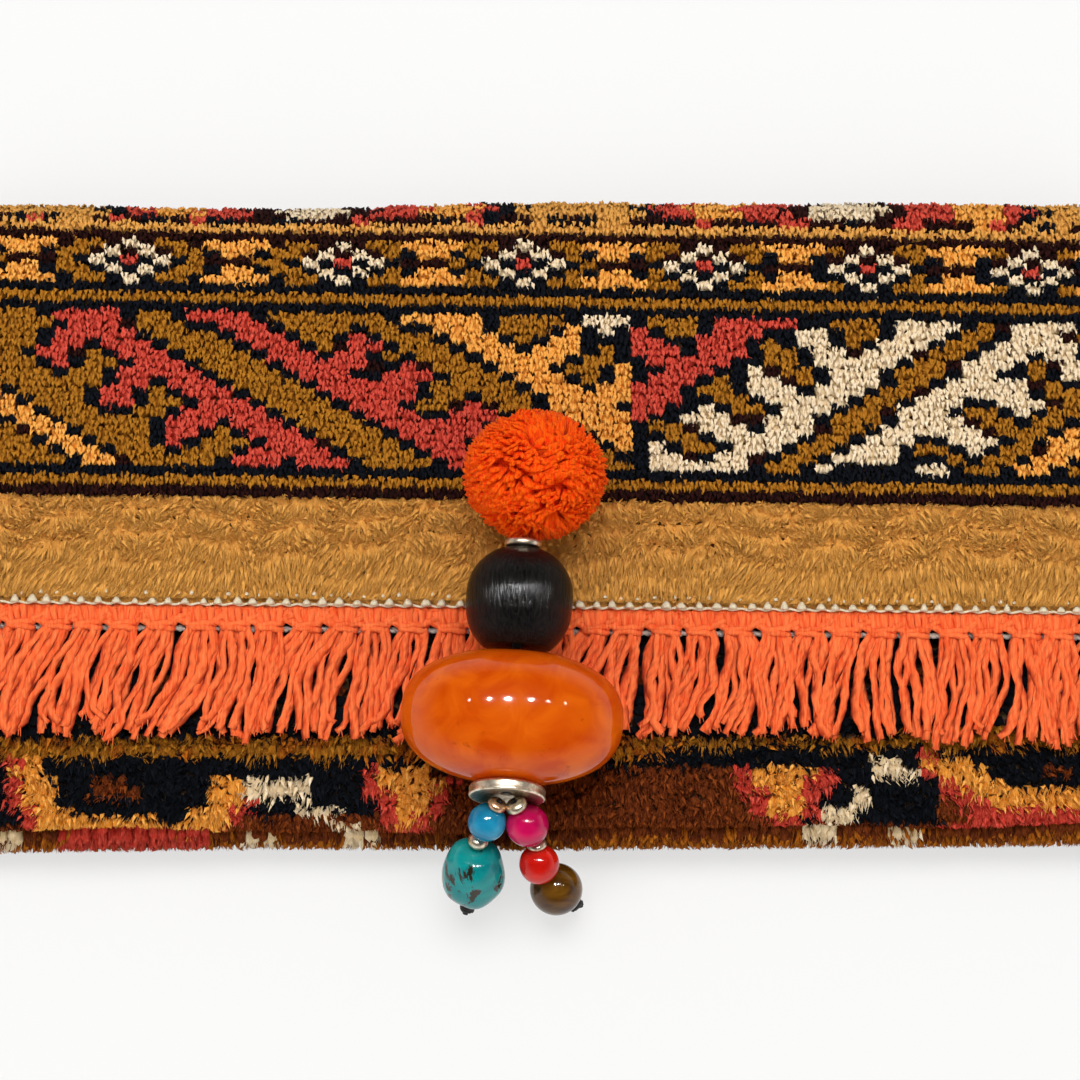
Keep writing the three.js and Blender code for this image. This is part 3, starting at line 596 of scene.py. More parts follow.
# kinds of tuft: the tip share at its root and its end, which the wool turns into painted shade and highlight,
# its foot over the pile's bottom, and for all else a middle and a spread in mm
pile = {"depth": 4.6, "soft": 0.6, "floor": 0.02, "nearTip": 0.97}
tufts = {
    "flapBed": {
        "shape": bedShape, "shares": (0.0, 0.75), "foot": 0.0, "x": (0, 0), "run": (0, 0),
        "rise": (-0.7, 0), "sweep": (0.5, 0.3), "drift": (0, 0.3), "wide": (4.7, 0.3), "thick": (3.3, 0.2)},
    "flapEnd": {
        "shape": endShape, "shares": (0.3, 1.0), "foot": 2.3, "x": (0, 0.45), "run": (0.9, 0.45),
        "rise": (-0.1, 0.4), "sweep": (2.3, 0.6), "wide": (1.1, 0.25), "thick": (1.2, 0.25)},
    "flapStray": {
        "shape": hairShape, "shares": (0.5, 1.0), "foot": 2.6, "x": (0, 2.0), "run": (0, 1.2),
        "rise": (0.35, 0.35), "sweep": (1.5, 1.4), "drift": (0, 1.5), "wide": (0.7, 0.2),
        "thick": (0.6, 0.1)},
    "bandBed": {
        "shape": bedShape, "shares": (0.0, 0.45), "foot": 0.0, "x": (0, 0.4), "run": (0, 0.5),
        "rise": (-1.9, 0.4), "sweep": (0.4, 0.3), "drift": (0, 0.4), "wide": (3.1, 0.3), "thick": (3.6, 0.3)},
    "frontBed": {
        "shape": bedShape, "shares": (0.0, 0.6), "foot": 0.0, "x": (0, 0.6), "run": (0, 1.0),
        "rise": (-1.2, 0.5), "sweep": (0.6, 0.3), "drift": (0, 0.4), "wide": (2.7, 0.3), "thick": (3.2, 0.3)},
    "backBed": {
        "shape": bedShape, "shares": (0.1, 0.85), "foot": 0.0, "x": (0, 0.2), "run": (0, 0.2),
        "rise": (-0.1, 0.2), "sweep": (0.7, 0.2), "drift": (0, 0.2), "thick": (3.1, 0.2)},
    "turnEnd": {
        "shape": endShape, "shares": (0.3, 1.0), "foot": 2.3, "x": (0, 0.5), "run": (0.9, 0.5),
        "rise": (0, 0.4), "sweep": (2.2, 0.6), "drift": (0, 0.7), "wide": (1.6, 0.3), "thick": (1.4, 0.3)},
}


# tapering solids over the fold, one to a tuft, with the way that each point stands
def growPile(shape, shares, x, run, foot, rise, sweep, drift, wide, thick):
    sides, stations = shape["sides"], shape["stations"]
    middles = [onFold(x + aside * drift, run - down * sweep, foot + up * (rise - foot))
               for aside, down, up, size in stations]
    tip = onFold(x + drift, run - sweep, rise)
    axis = unit(tip - middles[0])
    side = unit(np.cross(np.cross(axis, (1.0, 0.0, 0.0)), axis))
    other = np.cross(axis, side)
    angle = fullTurn * np.arange(sides)[None, :] / sides + rng.uniform(0, fullTurn, (len(x), 1))
    ring = side[:, None, :] * (np.cos(angle) * wide[:, None] / 2)[..., None]
    ring = ring + other[:, None, :] * (np.sin(angle) * thick[:, None] / 2)[..., None]
    rings = np.stack([at[:, None, :] + ring * station[3] for at, station in zip(middles, stations)], 1)
    rings[..., 2] = np.maximum(rings[..., 2], pile["floor"])
    # tip shares up each tuft, from painted shade at the root to a painted highlight near the tip
    root, end = shares
    ringShares = [root + (pile["nearTip"] * end - root) * up for aside, down, up, size in stations]
    stand = unit(onFold(x, run, 0.0) - onFold(x, run, -1.0))
    stands = np.concatenate([np.repeat(stand, len(stations) * sides, 0), stand])
    return ringSolids(rings, tip, ringShares, end) + (stands,)


knotRow, knotColumn = np.indices(pattern.shape).reshape(2, -1)
knotRun = rowRun[knotRow]
knotX = columnX[knotColumn]
knotYarn = pattern[knotRow, knotColumn]
# how far the pile that shows goes on past the level flap, round the folds and up the front
shown = {"past": 16, "topTurn": 0.55, "bottom": 8, "front": 20, "shut": 46, "turn": 4}
shownTop = knotRun < flapRun + shown["past"] + shown["topTurn"] * math.pi * fold["topOuter"]
shownFront = (knotRun > bottomRun + shown["bottom"]) & (knotRun < frontRun + shown["front"])
longTan = knotRow <= band["tan"]
solids = {}


# grows one kind of tuft into the piece of each yarn in a group
def plant(group, dyed, shape, shares, *values):
    for yarn in range(len(names)):
        pick = dyed == yarn
        if pick.any():
            picked = [value[pick] if isinstance(value, np.ndarray) else value for value in values]
            solids.setdefault((group, yarn), []).append(growPile(shape, shares, *picked))


# one kind of tuft from the table, each value drawn about its middle
def plantTufts(group, dyed, kind, x, run, rise=0.0, **changes):
    tuft = {**tufts[kind], **changes}
    bases = {"x": x, "run": run, "rise": rise}
    values = []
    for key in ("x", "run", "rise", "sweep", "drift", "wide", "thick"):
        middle, spread = tuft[key]
        values.append(bases.get(key, 0) + middle + (jitter(len(x), spread) if spread else 0))
    x, run, *rest = values
    plant(group, dyed, tuft["shape"], tuft["shares"], x, run, tuft["foot"] - pile["depth"], *rest)


# the flap's short pile: a bed, eight yarn ends and a stray hair to a knot
short = shownTop & ~longTan
x = knotX[short] + jitter(short.sum(), 0.25)
run = knotRun[short] + jitter(short.sum(), 0.3)
rise = jitter(short.sum(), 0.3)
dyed = knotYarn[short]
plantTufts("flap", dyed, "flapBed", x, run, rise)
for across in (-1.5, -0.5, 0.5, 1.5):
    for down in (-0.6, 0.6):
        plantTufts("flap", dyed, "flapEnd", x + across, run + down, rise, drift=(0.1 * across, 0.6))
plantTufts("flap", dyed, "flapStray", x, run, rise)

# the tan band's pile, in hairs and a few curls: tousled in locks above, long and combed down and left below
hair = {"count": 20, "curls": 1, "lock": 2.3, "lockRun": 3.1, "lockShift": 0.37, "combed": 17, "combing": 8,
        "edge": 2.6, "foot": 1.9, "wide": 0.74, "curlWide": 1.1, "flat": 0.8, "shares": (0.3, 1.0)}
turn = rng.uniform(0, fullTurn, len(knotX))
count = longTan.sum()
for side in (-1, 1):
    x = knotX[longTan] + side * knot["wide"] / 4
    run = knotRun[longTan]
    plantTufts("band", knotYarn[longTan], "bandBed", x, run)
    for n in range(hair["count"] + hair["curls"]):
        rootX = x + jitter(count, 1.3)
        rootRun = run + jitter(count, 1.5)
        comb = np.clip((hair["combed"] - rootRun) / hair["combing"], 0, 1)
        fall = np.clip((hair["edge"] - rootRun) / hair["edge"], 0, 1)
        stroll = 1.1 * np.sin(rootX / 13 + 0.5 * np.sin(rootRun / 5))
        stroll = stroll + 0.7 * np.sin(rootX / 5.3 + rootRun / 6)
        tier = np.floor(rootRun / hair["lockRun"] + 0.4 * np.sin(rootX / 4.1))
        shift = hair["lockShift"] * tier
        lock = hair["lock"] * (np.floor(rootX / hair["lock"] + shift) + 0.5 - shift)
        lean = np.sin(5.3 * tier + 2.9 * lock)
        combedSweep = 4.2 + 0.7 * lean + jitter(count, 1.0)
        looseSweep = 1.5 + 1.3 * lean + jitter(count, 1.0)
        sweep = comb * combedSweep + (1 - comb) * looseSweep
        sweep = np.minimum(sweep + 0.3 * (rootRun - hair["lockRun"] * (tier + 0.5)), rootRun - 0.9)
        drift = comb * (stroll - 1.1) + (1 - comb) * 1.6 * np.cos(3.1 * tier + 2.3 * lock)
        drift = drift + 0.5 * (lock - rootX) + jitter(count, 0.7)
        curl = n >= hair["count"]
        wide = hair["curlWide" if curl else "wide"] + jitter(count, 0.16)
        rise = 0.35 * lean + jitter(count, 0.4) - 0.2 * curl - 1.2 * fall
        plant("band", knotYarn[longTan], curlShape if curl else hairShape, hair["shares"], rootX, rootRun,
              hair["foot"] - pile["depth"], rise, sweep, drift, wide, wide * hair["flat"])

# the front's shaggy pile, parted at the crease and calmer at the bottom edge
hair = {"count": 9, "curls": 1, "foot": 1.4, "wide": 0.75, "curlWide": 1.15, "flat": 0.8,
        "shares": (0.1, 1.0)}
count = shownFront.sum()
swirl = turn[shownFront]
for side in (-1, 1):
    x = knotX[shownFront] + side * knot["wide"] / 4
    run = knotRun[shownFront]
    plantTufts("front", knotYarn[shownFront], "frontBed", x, run)
    for n in range(hair["count"] + hair["curls"]):
        curl = n >= hair["count"]
        wide = hair["curlWide" if curl else "wide"] + jitter(count, 0.15)
        rootX = x + jitter(count, 1.2)
        rootRun = run + jitter(count, 1.7)
        ahead = rootRun - creaseAt(rootX)
        edge = np.clip((frontRun - 4 - rootRun) / 6, 0, 1)
        sweep = 2.2 + 1.1 * np.cos(swirl) + jitter(count, 0.9)
        sweep = np.where(ahead > 0, np.minimum(sweep, np.maximum(ahead - 0.9, 0.1)), sweep)
        dyed = knotYarn[shownFront].copy()
        dyed[(ahead < -1) & ((dyed == brown) | (dyed == gold))] = tawny  # the lip under the crease is lighter
        rise = jitter(count, 0.5) * (1 - 0.5 * edge) - 0.3 * edge - 1.6 * hump(ahead, 0, 1.3)
        drift = 1.2 * np.sin(swirl) + jitter(count, 0.9)
        plant("front", dyed, curlShape if curl else hairShape, hair["shares"], rootX, rootRun,
              hair["foot"] - pile["depth"], rise, sweep, drift, wide, wide * hair["flat"])

# rows that face the floor have one broad tuft to a knot, and rows shut under the flap one to two knots
shut = knotRun > frontRun + shown["shut"]
floorward = ~shownTop & ~shownFront & ~shut
for rest, side, wide in ((floorward, 0.0, 4.6), (shut & (knotColumn % 2 == 0), knot["wide"] / 2, 8.4)):
    x = np.minimum(knotX[rest] + side, rugHalf - wide / 2.4)
    plantTufts("back", knotYarn[rest], "backBed", x, knotRun[rest], wide=(wide, 0.3))
# the turn of the top fold, seen from behind, has four yarn ends over each broad tuft
underTurn = ~shownTop & (knotRun < backRun + shown["turn"])
dyed, x, run = knotYarn[underTurn], knotX[underTurn], knotRun[underTurn]
for across in (-1.0, 1.0):
    for down in (-0.6, 0.6):
        plantTufts("back", dyed, "turnEnd", x + across, run + down)
for yarn, name in enumerate(names):
    material = woolMaterial("wool_" + name, *yarns[name], **paintedLightByYarn.get(name, {}))
    for group in ("flap", "band", "front", "back"):
        if (group, yarn) in solids:
            addPiece(group + "_pile_" + name, solids[group, yarn], material, "bag",
                                       (), pile["soft"])


# a closed sheet along the fold, between two offsets
def foldedSheet(outer, inner, start, end, half, wrinkle=0.0, runStep=3.6, acrossSteps=31):
    run = np.linspace(start, end, int((end - start) / runStep) + 1)
    x = np.linspace(-half, half, acrossSteps)
    faces = []
    for offset, way in ((outer, run), (inner, run[::-1])):
        gridRun, gridX = np.meshgrid(way, x, indexing="xy")
        ripple = wrinkle * np.sin(gridX / 11 + gridRun / 7) * np.sin(gridX / 29 - gridRun / 13)
        faces.append(onFold(gridX, gridRun, offset + ripple))
    rings = np.concatenate(faces, 1)[::-1]
    points, faces, shares = ringSolids(rings[None])
    around = rings.shape[1]
    strip = np.arange(len(run) - 1)
    ends = np.stack([strip, strip + 1, around - 2 - strip, around - 1 - strip], 1)
    return points, [faces[0], ends[:, ::-1], ends + (acrossSteps - 1) * around], shares


# flat woven cloth: two dull yarns that cross, their widths in mm, and in some cloth a slub of a third tone
def wovenMaterial(name, across, along, first, second, inputs, bump, slub=None):
    material, tree = newTree(name)
    place = addNode(tree, "TexCoord", output="Object")
    threads = addNode(tree, "Mapping", {"Vector": place, "Scale": perGrain(across, along, math.inf)})
    colour = addNode(tree, "TexChecker", {"Vector": threads, "Scale": 1.0, "Color1": first, "Color2": second})
    over = colour.node.outputs["Fac"]
    if slub:
        drift = addNode(tree, "TexNoise", {"Vector": threads, "Scale": 0.35, "Detail": 3.0}, "Fac")
        colour = addNode(tree, "Mix", {0: drift, 6: colour, 7: slub}, 2, data_type="RGBA")
    strength, deep = bump
    lumps = addNode(tree, "Bump", {"Height": over, "Strength": strength, "Distance": deep * mm})
    shader = addNode(tree, "BsdfPrincipled", {"Base Color": colour, "Normal": lumps, **inputs})
    addNode(tree, "OutputMaterial", {"Surface": shader})
    return material


# the ground that the knots are tied on: cotton warp and wool weft, a coarse flat weave, warm grey-brown
ground = {"outer": -3.9, "inner": -5.4, "across": 2.0, "along": 2.5, "bump": (0.5, 0.4),
          "colours": ("#8a6a48", "#5b3f27")}
dull = {"Roughness": 0.95, "Specular IOR Level": 0.2}
material = wovenMaterial("cotton_ground_weave", ground["across"], ground["along"], *ground["colours"], dull,
                         ground["bump"])
groundSolid = foldedSheet(ground["outer"], ground["inner"], 0.0, rugLength, rugHalf)
rugGround = addPiece("rug_ground", [groundSolid], material, "bag", ["rug_shell"])

# lining: plain-woven cotton, faintly creased, seen in the mouth and under the flap
lining = {"outer": -5.85, "inner": -6.25, "start": 8.0, "half": 147.0, "wrinkle": 0.12, "thread": 0.8,
          "bump": (0.3, 0.2), "colours": ("#a58c68", "#8d744f"), "slub": "#7a6140"}
dull = {"Roughness": 0.9, "Specular IOR Level": 0.25}
material = wovenMaterial("cotton_lining", lining["thread"], lining["thread"], *lining["colours"], dull,
                         lining["bump"], lining["slub"])
liningSolid = foldedSheet(lining["outer"], lining["inner"], lining["start"], rugLength, lining["half"],
                          lining["wrinkle"])
liningSheet = addPiece("lining_cloth", [liningSolid], material, "bag", ["lining"])
print("rug folded")

# yarn wrapped over the side edges, loop beside loop about a core
wrap = {"pitch": 2.1, "thick": 2.0, "inset": 3.4, "slant": 1.2, "twist": 2.5, "uneven": 0.15,
        "stations": 13, "coreOut": 0.6, "coreHalf": 0.9, "colours": ("#5a3417", "#7a4b22", "#a8743c")}
# the wool's painted root shade and tip highlight run along each wrapped loop, from one face to the other, and
# along the core
wrapWool = woolMaterial("wool_edge_yarn", *wrap["colours"], fibre=0.35, root=0.6)
seamLow, seamHigh = np.array(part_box("right_side_seam")) / mm
seamMiddle = (seamHigh[2] + seamLow[2]) / 2
seamHalf = (seamHigh[2] - seamLow[2]) / 2 - wrap["thick"] / 2 + 0.3
rugMiddle, rugHalfThick = -fold["thick"] / 2, fold["thick"] / 2 - wrap["thick"] / 2 + 0.2
# a loop's shares of the way out and across, from one face over the outer side to the other
loopAngle = np.linspace(-0.5, 0.5, wrap["stations"]) * math.pi
outShare, acrossShare = np.clip(1.25 * np.cos(loopAngle), 0, 1), np.clip(1.12 * np.sin(loopAngle), -1, 1)
octagon = np.linspace(0, fullTurn, 9)[:-1]


# the seam narrows round the bottom fold
def narrowed(y):
    return np.sqrt(1 - (1 - np.clip((y - seamLow[1]) / fold["bottomOuter"], 0.05, 1)) ** 2)


def wrapLoops(points, up):
    return tubes(points, wrap["thick"], wrap["thick"], 6, 2, wrap["twist"], up=up)


for side, name in ((-1, "left"), (1, "right")):
    edgeX = side * (cadBox[1][0] / mm - wrap["thick"] / 2)
    innerX = side * (rugHalf - wrap["inset"])
    loopX = innerX + (edgeX - innerX) * outShare
    coreX = side * (rugHalf + wrap["coreOut"]) + wrap["coreHalf"] * np.cos(octagon)
    y = np.arange(seamLow[1] + 1.2, seamHigh[1] - 0.8, wrap["pitch"])[:, None]
    loopZ = seamMiddle + seamHalf * narrowed(y) * acrossShare
    loopY = y + wrap["slant"] * acrossShare / 2 + jitter(len(y), wrap["uneven"])[:, None]
    loops = wrapLoops(np.stack(np.broadcast_arrays(loopX, loopY, loopZ), -1), (0, 1, 0))
    coreY = np.linspace(seamLow[1] + 0.6, seamHigh[1] - 0.6, 40)[:, None]
    coreZ = seamMiddle + seamHalf * narrowed(coreY) * np.sin(octagon)
    core = np.stack(np.broadcast_arrays(coreX, coreY, coreZ), -1)[:, ::-1]
    seam = [loops, ringSolids(core[None])]
    addPiece(name + "_seam_yarn", seam, wrapWool, "bag", [name + "_side_seam"])

    run = np.arange(1.2, backRun + 18, wrap["pitch"])[:, None]
    loopRun = run + wrap["slant"] * acrossShare / 2 + jitter(len(run), wrap["uneven"])[:, None]
    points = onFold(loopX, loopRun, rugMiddle + rugHalfThick * acrossShare)
    points[..., 2] = np.maximum(points[..., 2], wrap["thick"] / 2 + 0.1)
    upWays = [0 * run] + [np.interp(run, evenRun, tangent[:, i]) for i in (0, 1)]
    loops = wrapLoops(points, np.stack(upWays, -1))
    coreRun = np.linspace(0.6, backRun + 17, 80)[:, None]
    core = onFold(coreX, coreRun, rugMiddle + rugHalfThick * np.sin(octagon))[:, ::-1]
    binding = [loops, ringSolids(core[None])]
    addPiece(name + "_binding_yarn", binding, wrapWool, "bag", [name + "_flap_binding"])

# dyed cotton fringe: soft flat yarn, coral, with painted shade down its sides and underside, a dry sheen, and
# twist lines that are partly painted shade in the grooves between its plies
fringe = {"pitch": 8.6, "count": 34, "yarns": 7, "wide": 2.3, "thick": 1.35, "long": 25.6, "rest": 18.45,
          "top": -25.6, "neck": -29.8, "low": 20.0, "stations": 16, "neckHalf": 2.4, "spread": 4.2, "fan": 6,
          "fanHalf": 4.1, "twist": 1.25, "plyDepth": 0.16, "side": 2.5, "swing": -5.2, "swingOut": 4.6,
          "sway": 0.8, "hooks": (-2.6, 0, 0, 0, 2.8), "shorter": 2.4, "shorterAt": (50, 32), "layers": 1.1,
          "pressedAt": (-6.5, 15), "fibreWide": 0.5, "fibreThick": 0.45,
          "under": "#a82c08", "coral": ("#ea501e", "#fa6a32"), "bright": "#ff8248",
          "grain": (0.45, 3.0, 1.5), "slant": 0.45}
material, tree = newTree("cotton_fringe_yarn")
place = addNode(tree, "TexCoord", output="Object")
strand = addNode(tree, "NewGeometry", output="Random Per Island")
paintedShade = addNode(tree, "Attribute", output="Fac", attribute_name="tip")
twisted = addNode(tree, "Mapping", {
    "Vector": place, "Rotation": (0, 0, fringe["slant"]), "Scale": perGrain(*fringe["grain"])})
threads = addNode(tree, "TexNoise", {"Vector": twisted, "Scale": 1.0, "Detail": 2.0}, "Fac")
streak = addNode(tree, "MapRange", {"Value": threads, "From Min": 0.35, "From Max": 0.7})
first, second = fringe["coral"]
tone = addNode(tree, "Mix", {0: strand, 6: first, 7: second}, 2, data_type="RGBA")
bright = addNode(tree, "Mix", {0: streak, 6: tone, 7: fringe["bright"]}, 2, data_type="RGBA")
# painted shade: the undersides and ply grooves of the yarn are mixed towards the deep under colour
upper = addNode(tree, "MapRange", {"Value": paintedShade, "From Min": 0.3, "From Max": 0.85})
colour = addNode(tree, "Mix", {0: upper, 6: fringe["under"], 7: bright}, 2, data_type="RGBA")
bump = addNode(tree, "Bump", {"Height": threads, "Strength": 0.6, "Distance": 0.3 * mm})
shader = addNode(tree, "BsdfPrincipled", {"Base Color": colour, "Roughness": 0.85, "Specular IOR Level": 0.1,
                                          "Sheen Weight": 0.04, "Normal": bump})
addNode(tree, "OutputMaterial", {"Surface": shader})

down = np.linspace(0, 1, fringe["stations"])
opened = 1 - np.exp(-7 * down)
fray = np.linspace(0, 1, 4)
paths, widths, thicks, rolls, frayed = [], [], [], [], []
tasselX = (np.arange(fringe["count"]) - (fringe["count"] - 1) / 2) * fringe["pitch"]
tasselX = tasselX + jitter(fringe["count"], 0.8)
for i, middleX in enumerate(tasselX):
    drop = fold["skew"] * middleX
    swing = fringe["swing"] + fringe["swingOut"] * middleX / rugHalf + 2.5 * math.sin(1.7 * i)
    swing = swing + rng.uniform(-1.3, 1.3)
    swing = max(swing, 5.0 - rugHalf - middleX)
    curl = rng.uniform(-1.3, 1.3) + 1.6 * math.sin(0.9 * i + 1)
    gather = 1.1 + 1.1 * math.sin(3.1 * i)  # the tips of most tassels draw together again
    opening = fringe["spread"] * rng.uniform(0.86, 1.14) - fringe["neckHalf"]
    for j in range(fringe["yarns"]):
        across = 2 * j / (fringe["yarns"] - 1) - 1
        phase, waves = rng.uniform(0, 6.28), rng.uniform(0.8, 1.9)
        length = fringe["long"] + 1.4 * math.sin(2.3 * i) + rng.uniform(-2.2, 1.5)
        length = length - fringe["shorter"] * hump(middleX, *fringe["shorterAt"])
        belly = np.sin(math.pi * np.clip(down * 1.1, 0, 1)) ** 0.7
        sway = fringe["sway"] * np.sin(phase + waves * fullTurn * down) * belly
        # the ends of some yarns hook aside
        hook = rng.choice(fringe["hooks"]) * np.clip((down - 0.8) / 0.2, 0, 1) ** 2
        x = middleX + across * (fringe["neckHalf"] + opening * opened - gather * down ** 3) + hook
        x = x + (swing + rng.uniform(-1.6, 1.6)) * down ** 1.15 + sway + curl * np.sin(math.pi * down)
        beyond = np.maximum(np.abs(x) - rugHalf + fringe["side"], 0)
        x = x - np.sign(x) * 0.75 * beyond
        y = fringe["neck"] - 0.2 + drop - length * down + 0.35 * np.abs(hook)
        # the amber bead presses the yarns under it flat
        layer = fringe["layers"] * ((j * 3 + i) % 4) / 3 * (1 - 0.8 * hump(x, *fringe["pressedAt"]))
        z = fringe["rest"] + 0.2 + layer + (fringe["low"] - fringe["rest"]) * (1 - down) ** 2.2
        z = z + 0.3 * np.sin(phase + 9 * down)
        paths.append(np.stack([x, y, z], -1))
        flare = 0.8 + 0.2 * np.clip(down / 0.15, 0, 1)
        flare = flare * (1 - rng.uniform(-0.1, 0.4) * np.clip((down - 0.86) / 0.14, 0, 1))
        widths.append(fringe["wide"] * flare * rng.uniform(0.75, 1.2))
        thicks.append(fringe["thick"] * (1.05 - 0.3 * down))
        rolls.append(0.8 * np.sin(phase * 2 + 6 * down))
        for fibre in range(2):
            aside = rng.uniform(-0.9, 0.9) * fray
            out = [aside + rng.uniform(-0.6, 0.6), -rng.uniform(1.7, 2.6) * fray, 0.15 * np.abs(aside)]
            frayed.append(paths[-1][-2] + np.stack(out, -1))
# the loose fibres get half painted shade on their undersides, and the yarns full painted shade there and in
# their ply grooves
fibres = tubes(np.array(frayed), fringe["fibreWide"] - 0.25 * fray, fringe["fibreThick"] - 0.2 * fray, 3,
               paintedShade=0.5)
tasselYarns = tubes(np.array(paths), np.array(widths), np.array(thicks), 8, 2, fringe["twist"],
                    fringe["plyDepth"], roll=np.array(rolls), paintedShade=1.0)

# heading: each tassel is a fan of loops over the edge, drawn in by a wrapped turn,
# with loops across to the next fan
heading = {"fanWide": 2.1, "fanThick": 1.6, "fanTwist": 1.2, "fanDepth": 0.12, "cross": 1.7, "turn": 1.5,
           "twist": 2.0, "braidWide": 1.3, "braidThick": 1.2, "braidTwist": 2.2}
fanPaths, fanWides, crossPaths, turnPaths = [], [], [], []
toNeck = np.linspace(0, 1, 9)
over = np.linspace(-1, 1, 9)
for i, middleX in enumerate(tasselX):
    drop = fold["skew"] * middleX
    for j in range(fringe["fan"]):
        across = 2 * j / (fringe["fan"] - 1) - 1
        half = fringe["neckHalf"] + (fringe["fanHalf"] - fringe["neckHalf"]) * (1 - toNeck ** 2.2)
        x = middleX + across * half + 0.2 * np.sin(3 * toNeck + j + i)
        y = fringe["top"] + 0.55 + drop + (fringe["neck"] - fringe["top"] - 0.4) * toNeck
        y = y + 0.4 * np.cos(5 * j + 2 * i) * (1 - toNeck)
        z = fringe["low"] + 1.5 * np.sin(math.pi * (0.22 + 0.64 * toNeck))
        z = z - 0.4 * abs(across) + 0.3 * ((j + i) % 2)
        fanPaths.append(np.stack([x, y, z], -1))
        fanWides.append((heading["fanWide"] - 0.6 * toNeck) * rng.uniform(0.95, 1.12))
    for lap in (0, 1):
        y = fringe["neck"] + drop + 0.5 - 1.0 * lap + 0.3 * over * (1 - 2 * lap)
        z = fringe["low"] + 1.9 * np.sqrt(1 - 0.85 * over ** 2) - 0.1 * lap
        turnPaths.append(np.stack([middleX + (fringe["neckHalf"] + 0.7) * over, y, z], -1))
for left, right in zip(tasselX[:-1], tasselX[1:]):
    drop = fold["skew"] * left
    reach = (right - left) / 2 - 0.75 * fringe["neckHalf"]
    for lap in (0, 1):
        y = fringe["neck"] + drop + 1.9 - 0.7 * lap + 1.1 * over * (1 - 2 * lap) + rng.uniform(-0.3, 0.3)
        z = fringe["low"] + 0.7 + 1.0 * (1 - over ** 2) - 0.35 * lap
        crossPaths.append(np.stack([(left + right) / 2 + reach * over, y, z], -1))
braidX = np.linspace(-rugHalf + 3.4, rugHalf - 3.4, 300)
braidY = fringe["top"] + 0.3 + fold["skew"] * braidX + 0.4 * np.sin(braidX * 2.9 + np.sin(braidX / 3))
braid = np.stack([braidX, braidY, fringe["low"] + 1.3 + 0.25 * np.cos(braidX * 3.4)], -1)[None]
# the heading's loops, fans and braid get half painted shade on their undersides, and painted shade in their
# ply grooves
loops = [tubes(np.array(ways), heading[size], heading[size], 8, 2, heading["twist"], up=(0, 1, 0), paintedShade=0.5)
         for ways, size in ((crossPaths, "cross"), (turnPaths, "turn"))]
fringeSolids = [
    tasselYarns, fibres,
    tubes(np.array(fanPaths), np.array(fanWides), heading["fanThick"], 8, 2, heading["fanTwist"],
          heading["fanDepth"], paintedShade=0.5),
    *loops,
    tubes(braid, heading["braidWide"], heading["braidThick"], 8, 2, heading["braidTwist"], paintedShade=0.5)]
fringePiece = addPiece("fringe_yarns", fringeSolids, material, "bag", ["fringe"])


# twisted thread of one fibre: two tones that drift in fine grains of some mm
def threadMaterial(name, deep, light, grain, inputs, bump=0.0):
    material, tree = newTree(name)
    place = addNode(tree, "TexCoord", output="Object")
    grains = addNode(tree, "Mapping", {"Vector": place, "Scale": perGrain(grain, grain, grain)})
    fibres = addNode(tree, "TexNoise", {"Vector": grains, "Scale": 1.0, "Detail": 2.0}, "Fac")
    colour = addNode(tree, "Mix", {0: fibres, 6: deep, 7: light}, 2, data_type="RGBA")
    inputs = {"Base Color": colour, **inputs}
    if bump:
        inputs["Normal"] = addNode(tree, "Bump", {"Height": fibres, "Strength": bump, "Distance": 0.2 * mm})
    addNode(tree, "OutputMaterial", {"Surface": addNode(tree, "BsdfPrincipled", inputs)})
    return material


# undyed warp ends: white cotton thread, laid in teeth over the flap's end
warp = {"pitch": 4.1, "thick": 0.6, "tall": 1.8, "half": 1.15, "z": 23.3, "dotRun": 1.8, "dotZ": 23.2,
        "dotTall": 1.0, "dotHalf": 0.48, "dots": 0.8, "inset": 5, "colours": ("#c8b48c", "#f6ebd2"),
        "tooth": ((0.0, 1.0), (0.45, 0.78), (0.82, 0.42)), "dot": ((0.0, 0.6), (0.3, 1.0), (0.75, 0.75))}
cotton = {"Roughness": 0.85, "Specular IOR Level": 0.3}
material = threadMaterial("undyed_cotton_thread", *warp["colours"], 0.4, cotton, 0.5)
toothX = np.arange(-rugHalf + warp["inset"], rugHalf - warp["inset"], warp["pitch"])
toothX = toothX + jitter(len(toothX), 0.4)


# small bumps of thread: where they stand, how tall and how wide, and their outline from foot to tip
def bumps(x, y, z, tall, half, outline):
    hexagon = fullTurn * np.arange(6) / 6
    rings = []
    for up, size in outline:
        wide = half[:, None] * size
        ring = [x[:, None] + wide * np.cos(hexagon), (y + tall * up)[:, None],
                (z - 0.2 * up)[:, None] + wide * 0.75 * np.sin(hexagon)]
        rings.append(np.stack(np.broadcast_arrays(*ring), -1))
    return ringSolids(np.stack(rings, 1)[:, :, ::-1], np.stack([x, y + tall, z - 0.2], -1))


threadX = np.linspace(-rugHalf + 4.5, rugHalf - 4.5, 500)
threadY = fringe["top"] + 0.95 + fold["skew"] * threadX + 0.2 * np.sin(threadX * 1.6)
thread = np.stack([threadX, threadY, warp["z"] - 0.8 + 0.1 * np.cos(threadX * 1.6)], -1)[None]
count = len(toothX)
teeth = bumps(toothX, fringe["top"] + 0.8 + fold["skew"] * toothX, warp["z"] + jitter(count, 0.1),
              warp["tall"] + jitter(count, 0.4), warp["half"] + jitter(count, 0.25), warp["tooth"])
dotX = toothX[rng.random(count) < warp["dots"]] + warp["pitch"] / 2
count = len(dotX)
dotX = dotX + jitter(count, 0.5)
dots = bumps(dotX, fold["flapEnd"] + warp["dotRun"] + fold["skew"] * dotX + jitter(count, 0.3),
             np.full(count, warp["dotZ"]), warp["dotTall"] + jitter(count, 0.3),
             warp["dotHalf"] + jitter(count, 0.14), warp["dot"])
stitches = [tubes(thread, warp["thick"], warp["thick"], 6), teeth, dots]
warpPiece = addPiece("warp_end_stitch", stitches, material, "bag", ["edge_stitch"])

